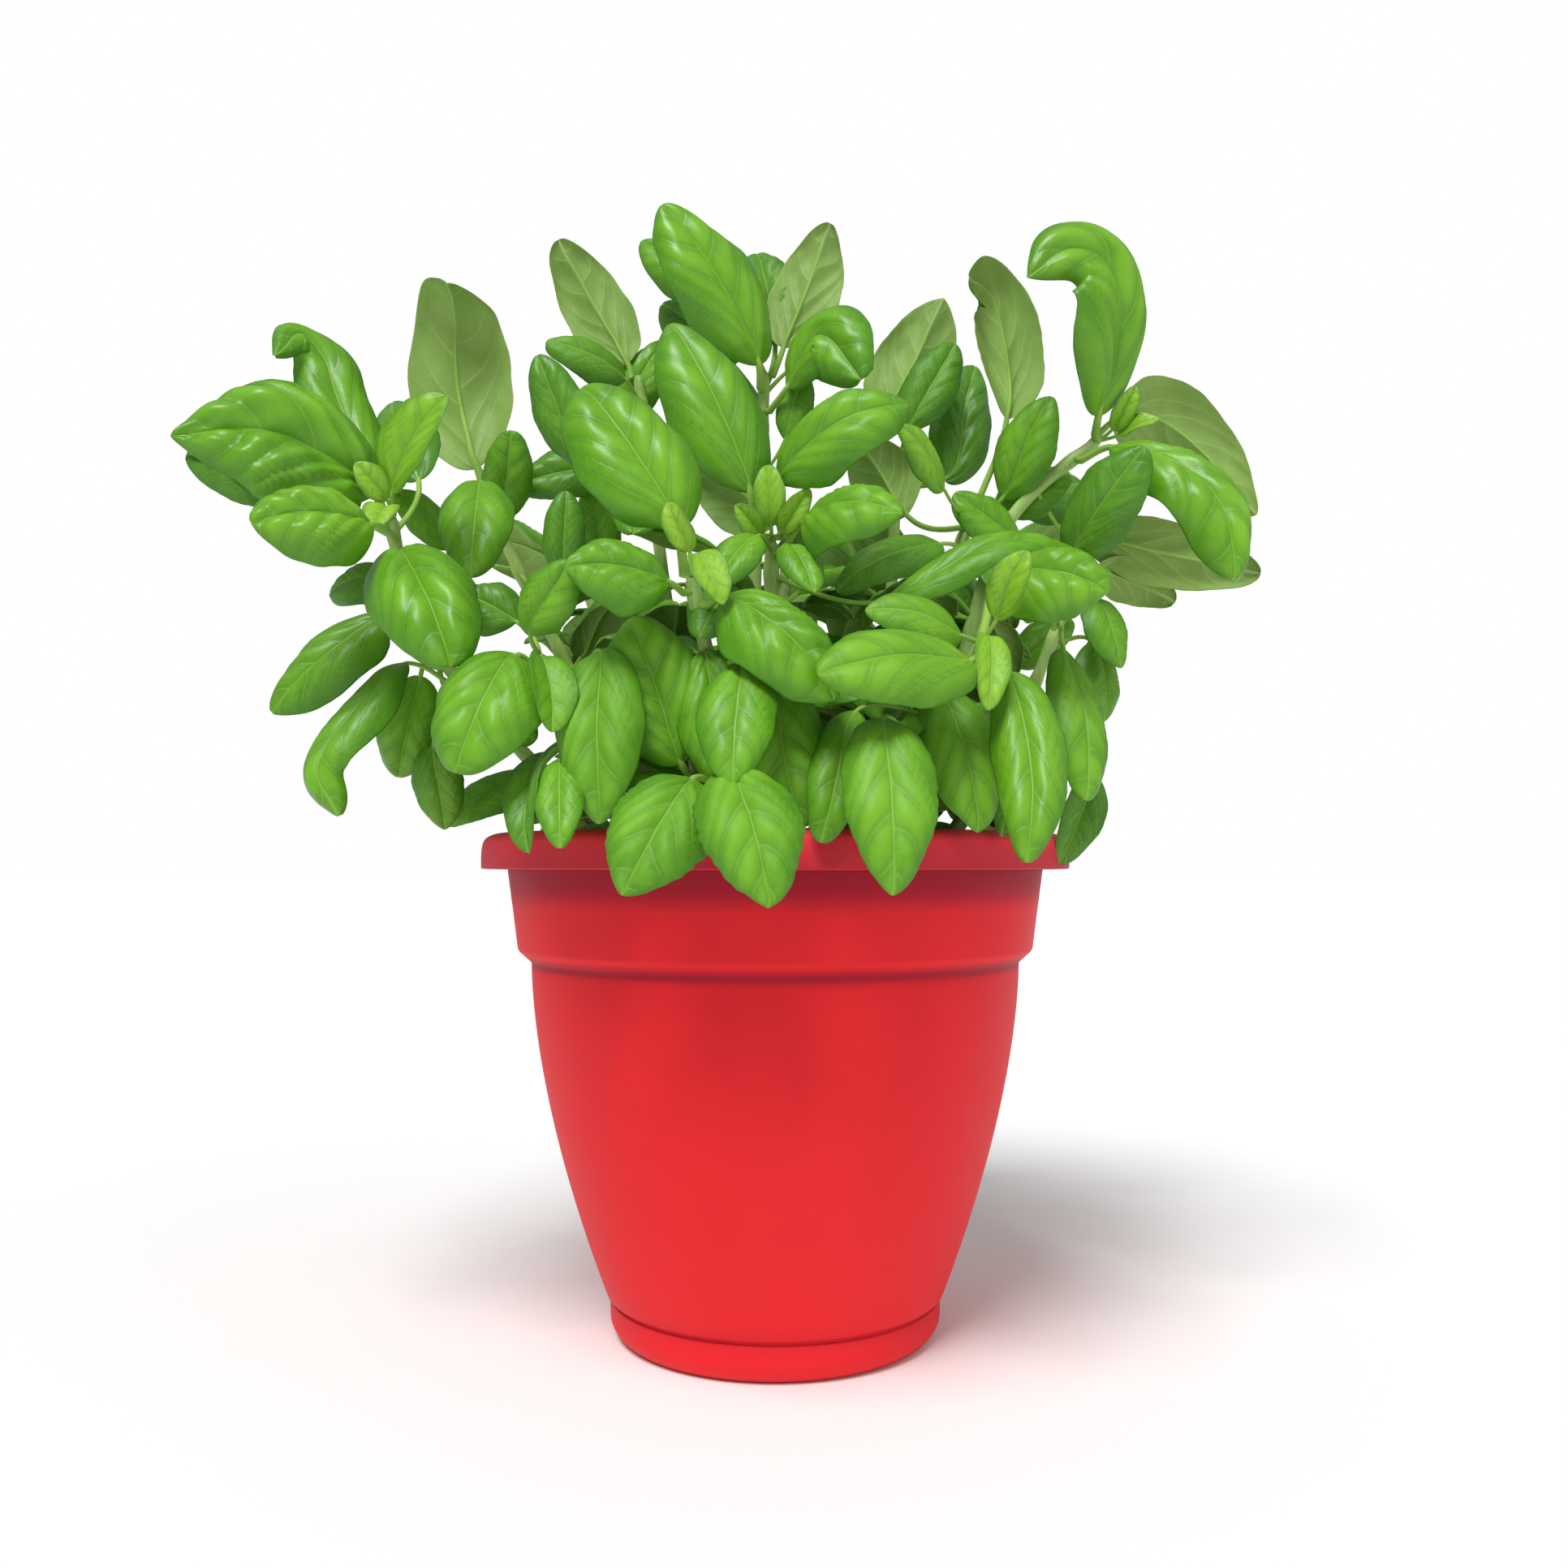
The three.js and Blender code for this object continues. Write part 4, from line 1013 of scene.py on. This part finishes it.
def grow_stem(node, number):
    """A stem: its section is a circle with four rounded corners, r (1 + 0.07 cos 4a), it swells at each
    node where leaves leave it, and it narrows to a blunt tip."""
    centres, radii = STEMS[node[5:]]
    share, length = lengths_along(centres)
    at = np.linspace(0, 1, 90)
    line = spline(share, centres, at)
    tangent = unit(np.gradient(line, axis=0))
    luck = np.random.default_rng(700 + number)
    radius = spline(share, radii, at)[:, 0] * 1.02
    joints = np.array([0.42, 0.6, 0.78, 0.93]) + luck.uniform(-0.03, 0.03, 4)
    swelling = np.exp(-(((at[:, None] - joints) * length / (3.2 * MM)) ** 2)).sum(1)
    radius = radius * (1 + 0.22 * swelling) * np.clip((1 - at) / 0.012, 0.35, 1) ** 0.5
    up, side = squared(np.broadcast_to(np.array([0.0, -1.0, 0.0]), line.shape), tangent)
    angle = 2 * np.pi * np.arange(STEM_SIDES) / STEM_SIDES
    section = radius[:, None] * (1 + 0.07 * np.cos(4 * (angle[None] + 1.3 * at[:, None])))
    ring = line[:, None] + (section * np.cos(angle))[..., None] * side[:, None]
    ring = ring + (section * np.sin(angle))[..., None] * up[:, None]
    points = np.concatenate([line[:1], ring.reshape(-1, 3), line[-1:]])
    low = np.clip(1 - (points[:, 2] - SOIL_CLEAR) / (45 * MM), 0, 1)
    piece = make_piece(node, points, ring_faces(len(line), STEM_SIDES), STEM, "green_stem", {"low": low})
    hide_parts(node)


for number, node in enumerate(n for n in NODES if n.startswith("stem_")):
    grow_stem(node, number)


# ---- Pot ----
# The pot's sizes are in millimetres, like its outline.
POT_SIDES = 180
RIM = POT_HIGH.x / MM
TOP = POT_HIGH.z / MM
WALL = 2.6
FLOOR_BELOW = 2.5  # the floor's underside, over the ring that the pot stands on
FLOOR_ABOVE = 5.1
BODY_FOOT = 12
BODY_TOP = 126.5
BODY_FOOT_RADIUS = 57
BODY_TOP_RADIUS = 84.3
BODY_CURVE = 1.65
COLLAR_RADIUS = 92.6
LIP_FOOT = 157.0  # above this height the plastic is painted paler, as painted light on the lip
# Inner corners of the pot's outside, where painted shade darkens the plastic, as a painted shadow under the
# lip and in the corners at the step and over the foot: radius, height, how far it reaches, how strong it is,
# and how sudden its edge is.
PAINTED_SHADE_CREASES = (
    (COLLAR_RADIUS, 158.5, 11.0, 0.75, 6),
    (BODY_TOP_RADIUS, 126.8, 1.8, 0.85, 2),
    (56.4, 13.2, 1.2, 0.35, 2),
)
DRAIN_HOLES = 5
DRAIN_RADIUS = 4.5
DRAIN_CIRCLE = 32  # radius of the circle that the drain holes are on


def rounded_outline(corners, steps=6):
    """A closed outline with each corner (r, z, radius) rounded by a curve that leaves one side and joins
    the next: the quadratic (1-t)^2 A + 2t(1-t) C + t^2 B between points A and B at that radius from the
    corner C."""
    corners = np.array(corners, float)
    place, radius = corners[:, :2], corners[:, 2]
    before = unit(np.roll(place, 1, 0) - place)
    after = unit(np.roll(place, -1, 0) - place)
    t = np.linspace(0, 1, steps)[None, :, None]
    start = (place + before * radius[:, None])[:, None]
    end = (place + after * radius[:, None])[:, None]
    curve = ((1 - t) ** 2 * start + 2 * t * (1 - t) * place[:, None] + t**2 * end).reshape(-1, 2)
    moved = np.linalg.norm(curve - np.roll(curve, 1, 0), axis=1) > 0.01
    return curve[moved]


def body_radius(height):
    """Radius of the pot's body at a height: its top radius, less what it tapers by times (1 - rise)^1.65."""
    rise = (height - BODY_FOOT) / (BODY_TOP - BODY_FOOT)
    return BODY_TOP_RADIUS - (BODY_TOP_RADIUS - BODY_FOOT_RADIUS) * (1 - rise) ** BODY_CURVE


heights = np.concatenate([np.linspace(BODY_FOOT + 2.5, BODY_TOP - 5, 24), [123.3, 124.6, 125.6, BODY_TOP]])
inner_heights = np.linspace(BODY_FOOT, BODY_TOP, 12)
outside = [(r, z, 0.0) for r, z in zip(body_radius(heights), heights)]
inside = [(r - WALL, z, 0.0) for r, z in zip(body_radius(inner_heights), inner_heights)]
outline = rounded_outline(
    # The ring that it stands on, and the groove over it.
    [(46.5, FLOOR_BELOW, 0.4), (46.5, 0.0, 0.6), (52.6, 0.0, 2.6), (56.6, 4.5, 2.6), (56.7, 12.4, 0.35),
     (56.1, 12.9, 0.2), (56.3, 13.8, 0.3)]
    + outside[:-1]
    # The step, and the collar band up into the lip.
    + [(BODY_TOP_RADIUS, BODY_TOP, 0.8), (88.9, 130.6, 1.0), (89.9, 138.0, 0.0), (90.5, 142.5, 0.0),
       (90.9, 145.5, 0.0), (91.3, 148.0, 0.0), (91.6, 150.5, 0.0), (91.9, 152.5, 0.0), (92.2, 154.6, 0.0),
       (92.4, 156.1, 0.0), (COLLAR_RADIUS, 157.5, 0.4), (COLLAR_RADIUS, 166.0, 0.8)]
    # The lip, hollow below, and its inner edge.
    + [(98.9, 165.0, 0.8), (98.9, 158.6, 0.5), (98.9, 158.0, 0.25), (RIM, 158.0, 0.8), (RIM, 164.0, 1.5),
       (RIM - 0.8, 168.0, 1.8), (RIM - 4.5, TOP, 2.2), (93.5, TOP, 1.4), (90.0, 167.4, 0.6),
       (86.7, 131.0, 1.2)]
    + inside[::-1]
    + [(52.9, FLOOR_ABOVE, 2.0)]
)


def lathe(outline, sides):
    """A closed outline (r, z) turned round the Z axis: x = r cos a, y = r sin a."""
    angle = 2 * np.pi * np.arange(sides) / sides
    r, z = outline[:, :1] * MM, outline[:, 1:] * MM
    return np.stack([r * np.cos(angle), r * np.sin(angle), np.broadcast_to(z, (len(r), sides))], -1)


def grow_pot():
    """The pot: its outline turned round the axis, with its floor closed by two flat discs. Holes are cut
    after."""
    grid = lathe(outline, POT_SIDES)
    points = np.concatenate([[[0, 0, FLOOR_BELOW * MM]], grid.reshape(-1, 3), [[0, 0, FLOOR_ABOVE * MM]]])
    # Painted shade for the inner corners, strongest at each corner.
    crease_painted_shade = np.zeros(len(points))
    for at_radius, at_height, reach, depth, edge in PAINTED_SHADE_CREASES:
        away = np.hypot(np.hypot(points[:, 0], points[:, 1]) / MM - at_radius, points[:, 2] / MM - at_height)
        crease_painted_shade = np.maximum(crease_painted_shade, depth * np.exp(-((away / reach) ** edge)))
    # Painted light on the lip, from its foot up.
    painted_lip_light = np.clip((points[:, 2] / MM - LIP_FOOT) / 1.5, 0, 1)
    values = {"crease_painted_shade": crease_painted_shade, "painted_lip_light": painted_lip_light}
    pot = make_piece("pot", points, ring_faces(len(outline), POT_SIDES), POT, "pot_plastic", values)
    cutter_mesh = bmesh.new()
    radius = DRAIN_RADIUS * MM
    for hole in range(DRAIN_HOLES):
        angle = 2 * np.pi * hole / DRAIN_HOLES
        made = bmesh.ops.create_cone(
            cutter_mesh, cap_ends=True, segments=32, radius1=radius, radius2=radius, depth=20 * MM
        )
        place = (DRAIN_CIRCLE * MM * math.cos(angle), DRAIN_CIRCLE * MM * math.sin(angle), 4 * MM)
        bmesh.ops.translate(cutter_mesh, verts=made["verts"], vec=place)
    mesh = bpy.data.meshes.new("drain_holes")
    cutter_mesh.to_mesh(mesh)
    cutter_mesh.free()
    cutter = bpy.data.objects.new("drain_holes", mesh)
    bpy.context.scene.collection.objects.link(cutter)
    cut = pot.modifiers.new("drain", "BOOLEAN")
    cut.operation = "DIFFERENCE"
    cut.object = cutter
    cut.solver = "EXACT"
    bpy.context.view_layer.update()
    shape_now = pot.evaluated_get(bpy.context.evaluated_depsgraph_get())
    cut_mesh = bpy.data.meshes.new_from_object(shape_now)
    pot.modifiers.clear()
    pot.data = cut_mesh
    pot.data.name = "pot"
    bpy.data.objects.remove(cutter)
    pot.data.set_sharp_from_angle(angle=math.radians(50))
    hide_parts("pot")


grow_pot()


# ---- Soil ----
SOIL_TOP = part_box("soil")[1].z
SOIL_EDGE = 150 * MM  # height of the soil at the pot's wall


def grow_soil():
    """The soil: a body of revolution whose top is mounded as 1 - (r/R)^2 times its rise, roughened by two
    sizes of crumb from sums of sines of the plan position, with each crumb's phase drawn once."""
    luck = np.random.default_rng(31)
    sides, rows = 144, 46
    low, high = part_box("soil")
    edge = high.x
    share = np.linspace(1, 0.02, rows) ** 0.8
    angle = 2 * np.pi * np.arange(sides) / sides
    r = edge * share
    x, y = r[:, None] * np.cos(angle), r[:, None] * np.sin(angle)
    rough = np.zeros_like(x)
    for size, count in ((9.0, 10), (3.6, 22)):
        for _ in range(count):
            way, shift = luck.uniform(0, 2 * np.pi, 2)
            pitch = 2 * np.pi / (size * MM * luck.uniform(0.7, 1.4))
            rough += np.sin(pitch * (x * np.cos(way) + y * np.sin(way)) + shift) * size * MM * 0.035
    rough = rough * np.clip((1 - share[:, None]) / 0.04, 0, 1)
    z = SOIL_EDGE + (SOIL_TOP - SOIL_EDGE) * (1 - share[:, None] ** 2) + rough - 0.8 * MM
    top = np.stack([x, y, z], -1)
    wall_heights = np.linspace(low.z + 1 * MM, SOIL_EDGE - 2 * MM, 14)
    # The wall follows the pot's inside, 0.6 mm away from it.
    known_heights = [5.6, *inner_heights, 131, 168]
    known_radii = [52, *(body_radius(inner_heights) - WALL), 86.6, 90.0]
    radii = (np.interp(wall_heights / MM, known_heights, known_radii) * MM - 0.6 * MM)[:, None]
    wall_z = np.broadcast_to(wall_heights[:, None], (len(radii), sides))
    wall = np.stack([radii * np.cos(angle), radii * np.sin(angle), wall_z], -1)
    grid = np.concatenate([wall, top])
    points = np.concatenate([[[0, 0, low.z + 1 * MM]], grid.reshape(-1, 3), [[0, 0, z[-1].mean()]]])
    piece = make_piece("soil", points, ring_faces(len(grid), sides), SOIL, "potting_soil")
    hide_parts("soil")


grow_soil()


def scatter(name, count, sizes, flat, material, seed):
    """Loose bits on the soil: each is a small ball of 6 by 4 facets, squashed, dented at random and turned,
    and all of them are one piece."""
    luck = np.random.default_rng(seed)
    columns, rows = 6, 3
    tilt = np.pi * (np.arange(rows) + 1) / (rows + 1)
    turn = 2 * np.pi * np.arange(columns) / columns
    wide = np.sin(tilt)[:, None]
    height = np.broadcast_to(-np.cos(tilt)[:, None], (rows, columns))
    rings = np.stack([wide * np.cos(turn), wide * np.sin(turn), height], -1)
    ball = np.concatenate([[[0, 0, -1]], rings.reshape(-1, 3), [[0, 0, 1]]])
    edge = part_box("soil")[1].x - 3 * MM
    reach = edge * np.sqrt(luck.uniform(0, 1, count))
    angle = luck.uniform(0, 2 * np.pi, count)
    size = luck.uniform(*sizes, count) * MM
    shape = ball[None] * luck.uniform(0.7, 1.25, (count, len(ball), 1))
    shape = shape * np.stack([size, size * luck.uniform(0.6, 1.0, count), size * flat], -1)[:, None]
    lean = luck.uniform(-0.5, 0.5, (2, count))
    spin = luck.uniform(0, 2 * np.pi, count)
    c, s = np.cos(spin)[:, None], np.sin(spin)[:, None]
    x, y = shape[..., 0] * c - shape[..., 1] * s, shape[..., 0] * s + shape[..., 1] * c
    z = shape[..., 2] + x * lean[0][:, None] + y * lean[1][:, None]
    height = SOIL_EDGE + (SOIL_TOP - SOIL_EDGE) * (1 - (reach / edge) ** 2) - 0.4 * MM
    place = np.stack([reach * np.cos(angle), reach * np.sin(angle), height], -1)
    points = np.stack([x, y, z], -1) + place[:, None]
    one = ring_faces(rows, columns)
    firsts = (np.arange(count) * len(ball))[:, None, None]
    faces = [(f[None] + firsts).reshape(-1, f.shape[1]) for f in one]
    make_piece(name, points.reshape(-1, 3), faces, material, "potting_soil", smooth=False)


scatter("soil_perlite", 150, (0.7, 1.9), 0.8, PERLITE, 91)
scatter("soil_bark", 420, (1.0, 3.6), 0.45, BARK, 92)
scatter("soil_crumbs", 900, (0.6, 1.8), 0.8, SOIL, 93)


# ---- Stage ----
SKY_LIGHT = 0.33
# Each lamp: its bearing in degrees (0 shines from the front, 90 from the right), its height, how wide it
# looks from the plant, and its power.
STUDIO_LAMPS = (
    ("key", -20, 57, 24, 2.6),
    ("fill", 50, 30, 60, 0.4),
)


def grow_stage():
    """A flat pale floor, a bright even sky, and two wide soft lamps above the plant's front."""
    f = Finish("floor_pale")
    f.set(Base_Color=colour(0.97, 0.97, 0.97), Roughness=0.95)
    reach = 12.0
    points = [[-reach, -reach, 0], [reach, -reach, 0], [reach, reach, 0], [-reach, reach, 0]]
    floor = make_piece("floor", np.array(points), [np.array([[0, 1, 2, 3]])], f.material, None, smooth=False)

    world = bpy.data.worlds.new("studio")
    world.use_nodes = True
    tree = world.node_tree
    sky = tree.nodes["Background"]
    sky.inputs[0].default_value = (1.0, 1.0, 1.0, 1.0)
    sky.inputs[1].default_value = SKY_LIGHT
    backdrop = tree.nodes.new("ShaderNodeBackground")
    backdrop.inputs[0].default_value = (1.0, 1.0, 1.0, 1.0)
    chooser = tree.nodes.new("ShaderNodeMixShader")
    tree.links.new(tree.nodes.new("ShaderNodeLightPath").outputs["Is Camera Ray"], chooser.inputs[0])
    tree.links.new(sky.outputs[0], chooser.inputs[1])
    tree.links.new(backdrop.outputs[0], chooser.inputs[2])
    tree.links.new(chooser.outputs[0], tree.nodes["World Output"].inputs["Surface"])
    bpy.context.scene.world = world
    bpy.context.scene.view_settings.view_transform = "Standard"

    for name, bearing, height, spread, power in STUDIO_LAMPS:
        light = bpy.data.lights.new(name, "SUN")
        light.angle = math.radians(spread)
        light.energy = power
        lamp = bpy.data.objects.new(name, light)
        lamp.rotation_euler = (math.radians(90 - height), 0, math.radians(bearing))
        bpy.context.scene.collection.objects.link(lamp)


grow_stage()


# ---- Camera ----
CAMERA_PLACE = (0.003, -0.480, 0.1604)
CAMERA_RISE = 3.28  # degrees that it looks up
CAMERA_LENS = 31.17  # mm, on a sensor 36 mm wide

camera = bpy.data.cameras.new("camera")
camera.sensor_width = 36.0
camera.lens = CAMERA_LENS
camera.clip_start = 0.02
viewer = bpy.data.objects.new("camera", camera)
viewer.location = CAMERA_PLACE
viewer.rotation_euler = (math.radians(90 + CAMERA_RISE), 0, 0)
bpy.context.scene.collection.objects.link(viewer)
bpy.context.scene.camera = viewer
